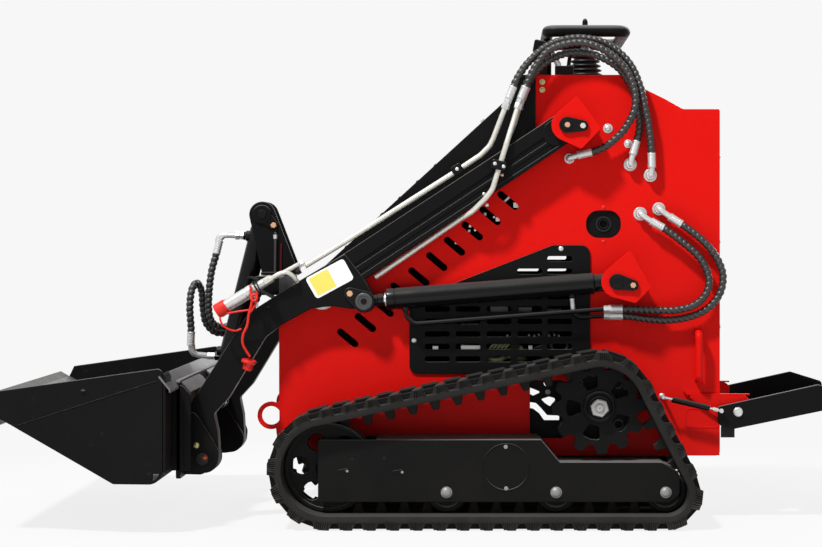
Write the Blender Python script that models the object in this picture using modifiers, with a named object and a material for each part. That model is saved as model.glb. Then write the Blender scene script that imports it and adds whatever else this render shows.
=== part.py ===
"""Compact stand-on skid steer loader on rubber tracks, with a bucket.

Metres, +Z up. The bucket points to -X, the operator stands at +X, and the machine's
left side is at -Y. X is measured from a datum plane in the undercarriage, and the
machine empty shifts everything so that the origin is under the middle of its length.
"""
import math

import bmesh
import bpy
from mathutils import Matrix, Vector

# ---------------------------------------------------------------- driving dimensions
GAP = 0.0003              # between solids that touch
CLEAR = 0.006             # between pieces that move past each other
PIN_PLAY = 0.0006         # radial play of a pin in its hole
LIP = (-1.3465, 0.340)    # front edge of the bucket
STEP_END_X = 0.945        # rear end of the platform
DATUM_SHIFT = -(LIP[0] + STEP_END_X) / 2    # puts the origin under the middle of the length

# body
BODY_HALF = 0.235         # outer face of the side plates
SIDE_WALL = 0.008
SHEET = 0.004             # hood and top cover
BELLY_Z = 0.171
FRONT_X = -0.593
REAR_X = 0.590
TOP_Z = 1.193
CONSOLE_Z = 1.101         # lower, rear part of the top
HOOD_FOOT_Z = 0.568
HOOD_TOP_X = 0.016
HOOD_TOP_Z = 1.125
HOOD_REAR_X = 0.095

# undercarriage
TRACK_IN = BODY_HALF + 0.015    # inner edge of a belt
TRACK_WIDTH = 0.200
BELT = 0.020              # belt thickness without its lugs
LUG = 0.018
LUG_PITCH = 0.060
GROOVE_HALF = 0.026       # half the width of the drive groove inside the belt
GROOVE_DEPTH = 0.0165
IDLER_X, IDLER_R = -0.4475, 0.1165
ROLLER_R = 0.0557
WHEEL_SEAT = 0.0008       # between a wheel and the belt's round stretches
ROLLER_XS = (-0.139, 0.146, 0.431)
SPROCKET_X, SPROCKET_Z = 0.260, 0.312
SPROCKET_BED_R = 0.110    # inner radius of the belt round the sprocket
SPROCKET_TIP_R, SPROCKET_ROOT_R, TEETH = 0.125, 0.100, 12
FRAME_PLATE = 0.010
FRAME_IN = TRACK_IN + 0.040
FRAME_OUT = TRACK_IN + TRACK_WIDTH - 0.040

# boom
BOOM_PIVOT = (0.178, 1.054)
ARM_IN = BODY_HALF + 0.010
ARM_OUT = ARM_IN + 0.050
ARM_HALF_HEIGHT = 0.040
LUG_PLATE = 0.010         # plates of the clevises
PIN_R = 0.017
ELBOW_TOP = (-0.440, 0.644)    # where the upper beam of an arm ends
BUCKET_PIVOT = (-0.786, 0.171)
TOWER_PIN = (-0.660, 0.820)

# lift cylinders
LIFT_BASE = (0.310, 0.639)
LIFT_EYE = (-0.361, 0.587)
LIFT_BARREL_R, LIFT_ROD_R = 0.0285, 0.013
LIFT_GLAND = 0.615        # from the base pin to the end of the barrel
LIFT_STROKE = 0.440

# tilt cylinder
TILT_EYE = (-0.790, 0.300)
TILT_BARREL_R, TILT_ROD_R = 0.028, 0.015
TILT_GLAND = 0.430
TILT_STROKE = 0.290

# bucket
BUCKET_HALF = 0.530
BUCKET_SIDE = 0.010
BUCKET_PLATE = 0.008
BUCKET_BACK_X = -0.857
ATTACH_X = -0.832         # rear face of the attachment plate
ATTACH_HALF = 0.400
RIB_IN = ARM_OUT + 0.035  # ribs between the attachment plate and the bucket

# platform
STEP_PIVOT = (0.635, 0.291)
STEP_IN = BODY_HALF + 0.021
STEP_PLATE = 0.012
STRUT_BASE = (0.434, 0.331)
STRUT_EYE = (0.589, 0.295)
STRUT_Y = STEP_IN + 0.026

# pipes and hoses
PIPE_R = 0.0072
HOSE_R = 0.0095

SIDES = ("left", "right")

COLOURS = {               # name: (red, green, blue, metallic, roughness)
    "red_paint": (0.78, 0.02, 0.012, 0.0, 0.35),
    "black_paint": (0.012, 0.012, 0.013, 0.0, 0.4),
    "rubber": (0.02, 0.02, 0.02, 0.0, 0.8),
    "steel": (0.6, 0.6, 0.6, 1.0, 0.3),
    "zinc": (0.62, 0.6, 0.52, 1.0, 0.4),
    "engine_grey": (0.25, 0.25, 0.26, 0.6, 0.5),
}


# ---------------------------------------------------------------- tools
def clear_scene():
    for obj in list(bpy.data.objects):
        bpy.data.objects.remove(obj, do_unlink=True)


def collection(name):
    made = bpy.data.collections.new(name)
    bpy.context.scene.collection.children.link(made)
    return made


def material(name):
    if name in bpy.data.materials:
        return bpy.data.materials[name]
    red, green, blue, metallic, roughness = COLOURS[name]
    made = bpy.data.materials.new(name)
    made.use_nodes = True
    shader = made.node_tree.nodes["Principled BSDF"]
    shader.inputs["Base Color"].default_value = (red, green, blue, 1)
    shader.inputs["Metallic"].default_value = metallic
    shader.inputs["Roughness"].default_value = roughness
    return made


def only_in(obj, place):
    for old in obj.users_collection:
        old.objects.unlink(obj)
    place.objects.link(obj)


def finish(obj, name, paint, parent, angle=35):
    """Give a finished piece its name, material, parent and smooth shading."""
    obj.name = name
    obj.data.name = name
    obj.data.materials.clear()
    obj.data.materials.append(material(paint))
    obj.data.shade_smooth()
    obj.data.set_sharp_from_angle(angle=math.radians(angle))
    only_in(obj, PARTS)
    obj.parent = parent
    obj.matrix_parent_inverse = parent.matrix_world.inverted()
    return obj


def pair(solid, name, paint, parents):
    """Finish a solid made on the right side, and its mirror image on the left."""
    left = bpy.data.objects.new(name, solid.data.copy())
    left.data.transform(Matrix.Scale(-1, 4, (0, 1, 0)))
    left.data.flip_normals()
    PARTS.objects.link(left)
    for side, obj in zip(SIDES, (left, solid)):
        parent = parents[side] if isinstance(parents, dict) else parents
        finish(obj, side + "_" + name, paint, parent)


def arc(x, z, radius, start, end, steps):
    """Points on an arc; angles in degrees from +X towards +Z."""
    return [(x + radius * math.cos(math.radians(start + (end - start) * i / steps)),
             z + radius * math.sin(math.radians(start + (end - start) * i / steps)))
            for i in range(steps + 1)]


def circle(x, z, radius, steps=24):
    return arc(x, z, radius, 0, 360, steps)[:-1]


def fillet(corners, step=30):
    """An outline from corners (x, z, radius), each rounded to its own radius."""
    points = []
    for i, (x, z, radius) in enumerate(corners):
        here = Vector((x, z))
        if not radius:
            points.append((x, z))
            continue
        before = (Vector(corners[i - 1][:2]) - here).normalized()
        after = (Vector(corners[(i + 1) % len(corners)][:2]) - here).normalized()
        half = before.angle(after) / 2
        centre = here + (before + after).normalized() * radius / math.sin(half)
        first = here + before * radius / math.tan(half) - centre
        turn = math.copysign(math.pi - 2 * half, first.x * (here - centre).y - first.y * (here - centre).x)
        count = max(1, round(math.degrees(abs(turn)) / step))
        for k in range(count + 1):
            bend = Matrix.Rotation(turn * k / count, 2) @ first
            points.append((centre.x + bend.x, centre.y + bend.y))
    return points


def around(circles, step=20):
    """The outline round circles (x, z, radius), given anticlockwise from +X to +Z."""
    count = len(circles)
    leaving = []
    for i, (x, z, radius) in enumerate(circles):
        next_x, next_z, next_radius = circles[(i + 1) % count]
        along = math.atan2(next_z - z, next_x - x)
        lean = math.acos((radius - next_radius) / math.hypot(next_x - x, next_z - z))
        leaving.append(math.degrees(along - lean))
    points = []
    for i, (x, z, radius) in enumerate(circles):
        start = leaving[i - 1]
        turn = (leaving[i] - start) % 360
        points += arc(x, z, radius, start, start + turn, max(1, round(turn / step)))
    return points


def turned(points, centre, degrees):
    """Outline points turned about a centre, from +X towards +Z."""
    spin = Matrix.Rotation(math.radians(degrees), 2)
    middle = Vector(centre)
    return [tuple(middle + spin @ (Vector(p) - middle)) for p in points]


def placed(points, start, end):
    """Points given along and across a line from start, in the X-Z plane."""
    along = (Vector(end) - Vector(start)).normalized()
    across = Vector((-along.y, along.x))
    return [tuple(Vector(start) + along * a + across * b) for a, b in points]


def to_mesh(curve_object):
    """Turn a curve object into a mesh object with welded caps."""
    graph = bpy.context.evaluated_depsgraph_get()
    mesh = bpy.data.meshes.new_from_object(curve_object.evaluated_get(graph))
    work = bmesh.new()
    work.from_mesh(mesh)
    bmesh.ops.remove_doubles(work, verts=work.verts, dist=1e-6)
    bmesh.ops.recalc_face_normals(work, faces=work.faces)
    work.to_mesh(mesh)
    work.free()
    solid = bpy.data.objects.new(curve_object.name, mesh)
    solid.matrix_world = curve_object.matrix_world.copy()
    PARTS.objects.link(solid)
    bpy.data.objects.remove(curve_object, do_unlink=True)
    return solid


def bake(obj):
    """Move an object's transform into its mesh."""
    obj.data.transform(obj.matrix_basis)
    obj.matrix_basis = Matrix()
    return obj


def plate(outline, y_from, y_to, holes=()):
    """A flat outline in the X-Z plane, between two Y values, with holes."""
    curve = bpy.data.curves.new("plate", "CURVE")
    curve.dimensions = "2D"
    curve.fill_mode = "BOTH"
    curve.extrude = abs(y_to - y_from) / 2
    for points in (outline, *holes):
        spline = curve.splines.new("POLY")
        spline.points.add(len(points) - 1)
        for point, (x, z) in zip(spline.points, points):
            point.co = (x, z, 0, 1)
        spline.use_cyclic_u = True
    obj = bpy.data.objects.new("plate", curve)
    obj.rotation_euler = (math.pi / 2, 0, 0)
    obj.location = (0, (y_from + y_to) / 2, 0)
    PARTS.objects.link(obj)
    bpy.context.view_layer.update()
    return bake(to_mesh(obj))


def sheet_x(outline, x_from, x_to, holes=()):
    """A flat outline (y, z) between two X values."""
    solid = plate(outline, x_from, x_to, holes)
    solid.data.transform(Matrix(((0, 1, 0, 0), (1, 0, 0, 0), (0, 0, 1, 0), (0, 0, 0, 1))))
    solid.data.flip_normals()
    return solid


def box(x_from, x_to, y_from, y_to, z_from, z_to):
    bpy.ops.mesh.primitive_cube_add(size=1)
    obj = bpy.context.object
    obj.scale = (abs(x_to - x_from), abs(y_to - y_from), abs(z_to - z_from))
    obj.location = ((x_from + x_to) / 2, (y_from + y_to) / 2, (z_from + z_to) / 2)
    bpy.context.view_layer.update()
    only_in(obj, PARTS)
    return bake(obj)


def shaft(x, z, radius, y_from, y_to, sides=16):
    """A round bar along Y."""
    bpy.ops.mesh.primitive_cylinder_add(vertices=sides, radius=radius, depth=abs(y_to - y_from))
    obj = bpy.context.object
    obj.rotation_euler = (math.pi / 2, 0, 0)
    obj.location = (x, (y_from + y_to) / 2, z)
    bpy.context.view_layer.update()
    only_in(obj, PARTS)
    return bake(obj)


def turned_bar(profile, start, end, y, sides=16):
    """A solid of revolution on the line from start to end, in the X-Z plane at y.

    The profile's points are (distance along the line, radius), from its far end back.
    """
    mesh = bpy.data.meshes.new("bar")
    mesh.from_pydata([(radius, 0, along) for along, radius in profile],
                     [(i, i + 1) for i in range(len(profile) - 1)], [])
    obj = bpy.data.objects.new("bar", mesh)
    PARTS.objects.link(obj)
    screw = obj.modifiers.new("Screw", "SCREW")
    screw.steps = sides
    screw.render_steps = sides
    screw.use_merge_vertices = True
    screw.merge_threshold = 0.0001
    graph = bpy.context.evaluated_depsgraph_get()
    solid = bpy.data.objects.new("bar", bpy.data.meshes.new_from_object(obj.evaluated_get(graph)))
    PARTS.objects.link(solid)
    bpy.data.objects.remove(obj, do_unlink=True)
    direction = Vector((end[0] - start[0], 0, end[1] - start[1]))
    turn = direction.to_track_quat("Z", "Y").to_matrix().to_4x4()
    solid.matrix_basis = Matrix.Translation((start[0], y, start[1])) @ turn
    return bake(solid)


def tube(points, radius, cyclic=False, resolution=2):
    """A round tube along points."""
    curve = bpy.data.curves.new("tube", "CURVE")
    curve.dimensions = "3D"
    curve.bevel_depth = radius
    curve.bevel_resolution = resolution
    curve.use_fill_caps = True
    spline = curve.splines.new("POLY")
    spline.points.add(len(points) - 1)
    for point, place in zip(spline.points, points):
        point.co = (*place, 1)
    spline.use_cyclic_u = cyclic
    obj = bpy.data.objects.new("tube", curve)
    PARTS.objects.link(obj)
    bpy.context.view_layer.update()
    return to_mesh(obj)


def combine(first, others, operation, solver="EXACT"):
    """Boolean of one solid with others, applied to its mesh."""
    for other in others:
        modifier = first.modifiers.new("Boolean", "BOOLEAN")
        modifier.operation = operation
        modifier.solver = solver
        modifier.object = other
        graph = bpy.context.evaluated_depsgraph_get()
        result = bpy.data.meshes.new_from_object(first.evaluated_get(graph))
        first.modifiers.clear()
        first.data = result
        bpy.data.objects.remove(other, do_unlink=True)
    return first


def join(first, *others):
    return combine(first, others, "UNION")


def cut(first, *others):
    return combine(first, others, "DIFFERENCE")


def empty(name, x, z, parent=None):
    made = bpy.data.objects.new(name, None)
    made.location = (x, 0, z)
    PARTS.objects.link(made)
    bpy.context.view_layer.update()
    if parent:
        made.parent = parent
        made.matrix_parent_inverse = parent.matrix_world.inverted()
        bpy.context.view_layer.update()
    return made


# ---------------------------------------------------------------- body
SLOPE = math.atan2(HOOD_TOP_Z - HOOD_FOOT_Z, HOOD_TOP_X - FRONT_X)


def slot_outline(x, z, length, width, degrees):
    """A slot with round ends round a centre, tilted from +X towards +Z."""
    reach = (length - width) / 2
    ends = arc(reach, 0, width / 2, -90, 90, 3) + arc(-reach, 0, width / 2, 90, 270, 3)
    return [(x + px, z + pz) for px, pz in turned(ends, (0, 0), degrees)]


def side_outline():
    """The side plate with its towing ring at the front and its stepped top."""
    under_hood = SHEET + GAP
    drop = under_hood / math.cos(SLOPE)
    ring_x, ring_z, ring_r = FRONT_X - 0.021, 0.279, 0.037
    return fillet([
        (FRONT_X, BELLY_Z, 0.004), (REAR_X, BELLY_Z, 0.012), (REAR_X, CONSOLE_Z, 0.006),
        (0.491, CONSOLE_Z, 0.02), (0.441, 1.129, 0.05), (0.378, 1.160, 0.05), (0.330, TOP_Z, 0.015),
        (HOOD_REAR_X + GAP, TOP_Z, 0.0), (HOOD_REAR_X + GAP, TOP_Z - 0.06, 0.0),
        (FRONT_X, HOOD_FOOT_Z - drop, 0.0), (FRONT_X, ring_z + ring_r, 0.01),
    ]) + arc(ring_x, ring_z, ring_r, 70, 290, 12)


def grille_outline(margin=0.0):
    """The engine bay cover, or its opening when a margin is taken off all round."""
    m = margin
    return fillet([
        (-0.243 + m, 0.391 + m, 0.022), (0.242 - m, 0.391 + m, 0.012), (0.242 - m, 0.736 - m, 0.025),
        (0.142 + 0.2 * m, 0.736 - m, 0.02), (-0.098 + 0.3 * m, 0.643 - m, 0.02),
        (-0.243 + m, 0.586 - m, 0.02),
    ])


GRILLE_COLUMNS = (        # centre x, first row
    (-0.168, 4), (-0.0855, 3), (-0.003, 2), (0.0795, 1), (0.160, 0))
GRILLE_ROW_TOP, GRILLE_ROW_PITCH, GRILLE_ROWS = 0.699, 0.0336, 9
GRILLE_SLOT = (0.066, 0.0147)


def grille_slots():
    slots = []
    half_x, half_z = GRILLE_SLOT[0] / 2, GRILLE_SLOT[1] / 2
    for x, first in GRILLE_COLUMNS:
        for row in range(first, GRILLE_ROWS):
            z = GRILLE_ROW_TOP - row * GRILLE_ROW_PITCH
            slots.append([(x - half_x, z - half_z), (x + half_x, z - half_z), (x + half_x, z + half_z),
                          (x - half_x, z + half_z)])
    return slots


VENTS = 10                # slanted slots along the boom
VENT_FIRST, VENT_STEP = (-0.409, 0.487), (0.0478, 0.0410)


def side_holes():
    vents = [slot_outline(VENT_FIRST[0] + i * VENT_STEP[0], VENT_FIRST[1] + i * VENT_STEP[1],
                          0.068, 0.016, -40)
             for i in range(VENTS)]
    ring = circle(FRONT_X - 0.021, 0.279, 0.025, 16)
    filler = fillet([(0.231, 0.755, 0.03), (0.325, 0.755, 0.03), (0.325, 0.829, 0.03),
                     (0.231, 0.829, 0.03)])
    motor_window = fillet([(0.080, 0.218, 0.01), (0.172, 0.218, 0.01), (0.172, 0.374, 0.01),
                           (0.080, 0.374, 0.01)])
    return vents + [ring, filler, motor_window, grille_outline(0.018)]


def side_plate():
    """Side plate with the hinge ear of the platform welded on at its rear."""
    solid = plate(side_outline(), BODY_HALF - SIDE_WALL, BODY_HALF, side_holes())
    ear = plate(fillet([(0.500, 0.334, 0.004), (0.545, 0.300, 0.01), (0.610, 0.255, 0.01),
                        (0.665, 0.262, 0.02),
                        (0.671, 0.334, 0.02)]), BODY_HALF - 0.002, BODY_HALF + 0.012,
                [circle(*STEP_PIVOT, 0.010, 12)])
    return join(solid, ear)


def hood():
    """Black hood: a sloping sheet with a flange down each side."""
    flange = BODY_HALF + GAP + SHEET
    edge = [(FRONT_X, HOOD_FOOT_Z - 0.030), (-0.420, 0.672), (HOOD_REAR_X, 1.000), (HOOD_REAR_X, TOP_Z),
            (HOOD_TOP_X + 0.045, TOP_Z), (HOOD_TOP_X, HOOD_TOP_Z), (FRONT_X, HOOD_FOOT_Z)]
    solid = plate(edge, -flange, flange)
    drop = SHEET / math.cos(SLOPE)
    hollow = [(FRONT_X - 0.01, HOOD_FOOT_Z - 0.06), (-0.40, 0.60), (HOOD_REAR_X + 0.01, 0.95),
              (HOOD_REAR_X + 0.01, TOP_Z - SHEET), (HOOD_TOP_X + 0.049, TOP_Z - SHEET),
              (HOOD_TOP_X + 0.004, HOOD_TOP_Z - SHEET),
              (FRONT_X - 0.01, HOOD_FOOT_Z - drop - 0.01 * math.tan(SLOPE))]
    return cut(solid, plate(hollow, -(BODY_HALF + GAP), BODY_HALF + GAP))


def top_cover():
    """Red sheet over the controls, stepping down to the rear."""
    half = BODY_HALF - SIDE_WALL - GAP
    upper = fillet([(REAR_X, CONSOLE_Z, 0.0), (0.491, CONSOLE_Z, 0.02), (0.441, 1.129, 0.05),
                    (0.378, 1.160, 0.05),
                    (0.330, TOP_Z, 0.015), (HOOD_REAR_X + 2 * GAP, TOP_Z, 0.0)])
    t = SHEET
    lower = [(HOOD_REAR_X + 2 * GAP, TOP_Z - t), (0.328, TOP_Z - t), (0.374, 1.1555), (0.438, 1.1245),
             (0.489, CONSOLE_Z - t),
             (REAR_X, CONSOLE_Z - t)]
    return plate(upper + lower, -half, half)


def body_panels(parent):
    half = BODY_HALF - SIDE_WALL - GAP
    wall = 0.006
    finish(box(FRONT_X, REAR_X, -half, half, BELLY_Z, BELLY_Z + wall), "belly_pan", "black_paint", parent)
    front_top = HOOD_FOOT_Z - 2 * SHEET - GAP
    finish(box(FRONT_X, FRONT_X + wall, -half, half, BELLY_Z + wall + GAP, front_top), "front_panel",
           "red_paint", parent)
    finish(box(REAR_X - wall, REAR_X, -half, half, BELLY_Z + wall + GAP, CONSOLE_Z - SHEET - GAP),
           "rear_panel", "red_paint", parent)
    finish(top_cover(), "top_cover", "red_paint", parent)
    finish(hood(), "hood", "black_paint", parent)
    finish(box(-0.330, 0.050, -0.170, 0.170, 0.260, 0.700), "engine", "engine_grey", parent)


def bracket(pin, corners, y_from, y_to, web):
    """Red clevis: an outer plate, a web to the side plate and a pin through both."""
    outer = plate(around([(*pin, 0.042)] + [(*c, 0.006) for c in corners]), y_from, y_to)
    seat = BODY_HALF + GAP
    rear = plate(around([(*c, 0.004) for c in web]), seat, y_from + 0.004)
    bolt = shaft(*pin, PIN_R, seat, y_to + 0.006)
    return join(outer, rear, bolt)


def brackets(parent):
    inner = ARM_OUT + 0.008
    outer = inner + LUG_PLATE
    x, z = BOOM_PIVOT
    corners = [(x + 0.036, z - 0.056), (x + 0.083, z - 0.008), (x + 0.025, z + 0.069)]
    web = [(x + 0.046, z - 0.047), (x + 0.080, z - 0.011), (x + 0.060, z + 0.018)]
    pair(bracket(BOOM_PIVOT, corners, inner, outer, web), "boom_bracket", "red_paint", parent)
    x, z = LIFT_BASE
    corners = [(x + 0.047, z - 0.050), (x + 0.083, z - 0.014), (x + 0.034, z + 0.076)]
    web = [(x + 0.054, z - 0.042), (x + 0.080, z - 0.017), (x + 0.060, z + 0.018)]
    pair(bracket(LIFT_BASE, corners, inner, outer, web), "lift_bracket", "red_paint", parent)


def tie_loops(parent):
    """A bent bar down each rear flank, for tying the machine down."""
    seat, proud = BODY_HALF + 0.0008, BODY_HALF + 0.034
    route = [(0.531, seat, 0.500), (0.531, proud - 0.01, 0.500), (0.531, proud, 0.490),
             (0.531, proud, 0.386), (0.531, proud - 0.01, 0.376), (0.531, seat, 0.376)]
    pair(tube(route, 0.006), "tie_loop", "red_paint", parent)


def controls(parent):
    """Grab handle round the control lever, both on the upper deck."""
    front, rear, half, height, r = 0.130, 0.345, 0.200, 1.314, 0.0145
    bend = 0.03
    loop = [(x, y, height) for x, y in fillet([(front, -half, bend), (rear, -half, bend),
                                               (rear, half, bend), (front, half, bend)])]
    rail = tube(loop, r, cyclic=True)
    for y in (-0.11, 0.11):
        post = tube([(front, y, height), (front, y, TOP_Z + 0.0006)], 0.011)
        rail = join(rail, post)
    finish(rail, "grab_handle", "black_paint", parent)
    lever = turned_bar([(1.369, 0.0), (1.369, 0.008), (1.275, 0.008), (1.270, 0.030), (1.215, 0.045),
                        (TOP_Z + GAP, 0.050),
                        (TOP_Z + GAP, 0.0)], (0.238, 0.0), (0.238, 1.0), 0.0, 20)
    finish(lever, "control_lever", "rubber", parent)


# ---------------------------------------------------------------- undercarriage
def track_circles(offset):
    """The belt's inner loop, moved outwards by an offset, anticlockwise from the idler."""
    total = BELT + LUG
    idler_r, roller_r = IDLER_R + WHEEL_SEAT, ROLLER_R + WHEEL_SEAT
    return [(IDLER_X, total + idler_r, idler_r + offset),
            (ROLLER_XS[-1], total + roller_r, roller_r + offset),
            (SPROCKET_X, SPROCKET_Z, SPROCKET_BED_R + offset)]


def lugged_loop():
    """The belt's outer outline: flat-topped lugs at an even pitch."""
    path = [Vector(p) for p in around(track_circles(BELT), 4)]
    path.append(path[0])
    lengths = [0.0]
    for a, b in zip(path, path[1:]):
        lengths.append(lengths[-1] + (b - a).length)
    count = round(lengths[-1] / LUG_PITCH)
    pitch = lengths[-1] / count

    def at(distance, height):
        distance %= lengths[-1]
        i = max(k for k in range(len(path) - 1) if lengths[k] <= distance)
        step = (path[i + 1] - path[i]).normalized()
        place = path[i] + step * (distance - lengths[i])
        return (place.x + step.y * height, place.y - step.x * height)

    points = []
    for k in range(count):
        for share, height in ((0.10, 0.0), (0.22, LUG), (0.68, LUG), (0.80, 0.0)):
            points.append(at((k + share) * pitch, height))
    return points


def tracks(parent):
    middle = TRACK_IN + TRACK_WIDTH / 2
    belt = plate(lugged_loop(), TRACK_IN, TRACK_IN + TRACK_WIDTH, [around(track_circles(0.0), 9)])
    groove = plate(around(track_circles(GROOVE_DEPTH), 9), middle - GROOVE_HALF, middle + GROOVE_HALF)
    pair(combine(belt, [groove], "DIFFERENCE", "MANIFOLD"), "track", "rubber", parent)


def track_frame():
    """Channel over the rollers, with a deck plate that joins it to the body."""
    t = FRAME_PLATE
    front, rear = -0.473, 0.467
    outline = fillet([(front, 0.069, 0.004), (0.440, 0.069, 0.02), (rear, 0.090, 0.02), (rear, 0.145, 0.03),
                      (0.421, 0.172, 0.02), (0.155, 0.172, 0.0), (0.106, 0.231, 0.0),
                      (front, 0.231, 0.006)])
    solid = plate(outline, FRAME_IN, FRAME_OUT)
    behind_idler = IDLER_X + IDLER_R + 0.008
    hollow = [(front - 0.02, 0.05), (rear + 0.03, 0.05), (rear + 0.03, 0.155), (0.415, 0.163),
              (0.150, 0.163),
              (0.101, 0.222), (behind_idler, 0.222), (behind_idler, 0.26), (front - 0.02, 0.26)]
    solid = cut(solid, plate(hollow, (FRAME_IN + t), (FRAME_OUT - t)))
    deck = box(behind_idler, 0.101, (BODY_HALF + GAP), (FRAME_IN + 0.002), 0.223, 0.231)
    web = box(behind_idler + 0.06, 0.060, (BODY_HALF + GAP), (BODY_HALF + 0.010), 0.190, 0.2305)
    solid = join(solid, deck, web)
    roller_z = BELT + LUG + ROLLER_R + WHEEL_SEAT
    for x in ROLLER_XS:
        wheel = shaft(x, roller_z, ROLLER_R, (FRAME_IN + t + 0.008), (FRAME_OUT - t - 0.008), 20)
        axle = shaft(x, roller_z, 0.0125, (FRAME_IN - 0.004), (FRAME_OUT + 0.006), 8)
        solid = join(solid, join(wheel, axle))
    return solid


def idler():
    z = BELT + LUG + IDLER_R + WHEEL_SEAT
    holes = [circle(IDLER_X + 0.0735 * math.cos(math.radians(a)), z + 0.0735 * math.sin(math.radians(a)),
                    0.024, 8)
             for a in range(115, 475, 60)]
    middle = TRACK_IN + TRACK_WIDTH / 2
    wheel = plate(circle(IDLER_X, z, IDLER_R, 32), (middle - 0.035), (middle + 0.035), holes)
    return join(wheel, shaft(IDLER_X, z, 0.030, (FRAME_IN + FRAME_PLATE + GAP),
                             (FRAME_OUT - FRAME_PLATE - GAP), 20))


def sprocket():
    """Toothed drive wheel with petal openings and a hub nut."""
    tooth = 360 / TEETH
    outline = []
    for k in range(TEETH):
        for share, radius in ((-0.40, SPROCKET_ROOT_R), (-0.16, SPROCKET_TIP_R), (0.16, SPROCKET_TIP_R),
                              (0.40, SPROCKET_ROOT_R)):
            a = math.radians(-87 + (k + share) * tooth)
            outline.append((SPROCKET_X + radius * math.cos(a), SPROCKET_Z + radius * math.sin(a)))
    petals = [circle(SPROCKET_X + 0.071 * math.cos(math.radians(a)),
                     SPROCKET_Z + 0.071 * math.sin(math.radians(a)), 0.021, 8)
              for a in range(48, 408, 72)]
    middle = TRACK_IN + TRACK_WIDTH / 2
    wheel = plate(outline, (middle - 0.020), (middle + 0.020), petals)
    hub = shaft(SPROCKET_X, SPROCKET_Z, 0.041, (middle - 0.035), (middle + 0.030), 24)
    nut = shaft(SPROCKET_X, SPROCKET_Z, 0.024, (middle + 0.028), (middle + 0.046), 6)
    return join(wheel, hub, nut)


def drive_motor():
    """Hydraulic wheel motor with a round flange on the side plate."""
    middle = TRACK_IN + TRACK_WIDTH / 2
    housing = shaft(SPROCKET_X, SPROCKET_Z, 0.052, (BODY_HALF + 0.004), (middle - 0.035 - GAP), 24)
    flange = shaft(SPROCKET_X, SPROCKET_Z, 0.075, (BODY_HALF + GAP), (BODY_HALF + 0.011), 32)
    return join(flange, housing)


def undercarriage(parent):
    tracks(parent)
    pair(track_frame(), "track_frame", "black_paint", parent)
    pair(idler(), "idler", "black_paint", parent)
    pair(sprocket(), "sprocket", "black_paint", parent)
    pair(drive_motor(), "drive_motor", "black_paint", parent)


# ---------------------------------------------------------------- boom
def arm():
    """Box beam and cranked lower leg; its elbow is slotted for the lift rod's eye."""
    beam = around([(*ELBOW_TOP, ARM_HALF_HEIGHT + 0.004), (*BOOM_PIVOT, ARM_HALF_HEIGHT)])
    leg = fillet([
        (-0.413, 0.713, 0.0), (-0.526, 0.646, 0.01), (-0.668, 0.556, 0.02), (-0.822, 0.308, 0.02),
        (-0.822, 0.171, 0.0)])
    leg += arc(*BUCKET_PIVOT, 0.036, 180, 360, 8)
    leg += fillet([(-0.762, 0.285, 0.02), (-0.722, 0.329, 0.0), (-0.624, 0.491, 0.02),
                   (-0.583, 0.523, 0.02),
                   (-0.502, 0.568, 0.02), (-0.445, 0.574, 0.01), (-0.390, 0.566, 0.0)])[1:]
    leg += arc(*LIFT_EYE, 0.030, 220, 380, 6)
    leg += [(-0.350, 0.655)]
    solid = plate(leg, ARM_IN, ARM_OUT, [circle(*BUCKET_PIVOT, PIN_R + PIN_PLAY, 20)])
    upper = plate(beam, (ARM_IN + 0.003), (ARM_OUT - 0.003), [circle(*BOOM_PIVOT, PIN_R + PIN_PLAY, 20)])
    solid = join(upper, solid)
    middle = (ARM_IN + ARM_OUT) / 2
    slot = around([(LIFT_EYE[0] - 0.004, LIFT_EYE[1] + 0.004, 0.036),
                   (LIFT_EYE[0] + 0.12, LIFT_EYE[1] - 0.06, 0.036),
                   (LIFT_EYE[0] + 0.12, LIFT_EYE[1] + 0.03, 0.036)])
    return cut(solid, plate(slot, middle - 0.0185, middle + 0.0185))


CROSSBEAM = (-0.662, -0.592, 0.602, 0.652)    # x from, x to, z from, z to


def tilt_tower():
    """Two plates on a foot, with the tilt cylinder's top pin between them."""
    x0, x1, _, top = CROSSBEAM
    foot_z = top + GAP
    outline = around([(x0 + 0.012, foot_z + 0.012, 0.012), (x1 + 0.045, foot_z + 0.012, 0.012),
                      (*TOWER_PIN, 0.036)])
    near = plate(outline, -0.050, -0.038)
    far = plate(outline, 0.038, 0.050)
    foot = box(x0, x1, -0.065, 0.065, foot_z, foot_z + 0.008)
    pin = shaft(*TOWER_PIN, PIN_R, -0.056, 0.056)
    return join(foot, near, far, pin)


def boom(parent):
    pair(arm(), "arm", "black_paint", parent)
    x0, x1, z0, z1 = CROSSBEAM
    beam = box(x0, x1, -(ARM_IN - GAP), ARM_IN - GAP, z0, z1)
    finish(beam, "boom_crossbeam", "black_paint", parent)
    finish(tilt_tower(), "tilt_tower", "black_paint", parent)


# ---------------------------------------------------------------- cylinders
def barrel_solid(base, eye, gland, stroke, barrel_r, rod_r, y, half_width):
    length = math.dist(base, eye)
    bottom = length - stroke - 0.050
    body = turned_bar([(gland, 0.0), (gland, barrel_r - 0.002), (gland - 0.015, barrel_r),
                       (0.045, barrel_r), (0.035, barrel_r - 0.006),
                       (0.010, barrel_r - 0.006), (0.010, 0.0)], base, eye, y)
    bore = turned_bar([(gland + 0.01, 0.0), (gland + 0.01, rod_r + 0.0008), (bottom, rod_r + 0.0008),
                       (bottom, 0.0)], base, eye, y)
    ring = shaft(*base, PIN_R + 0.012, y - half_width, y + half_width)
    body = cut(join(body, ring), bore)
    return cut(body, shaft(*base, PIN_R + PIN_PLAY, y - half_width - 0.01, y + half_width + 0.01))


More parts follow.
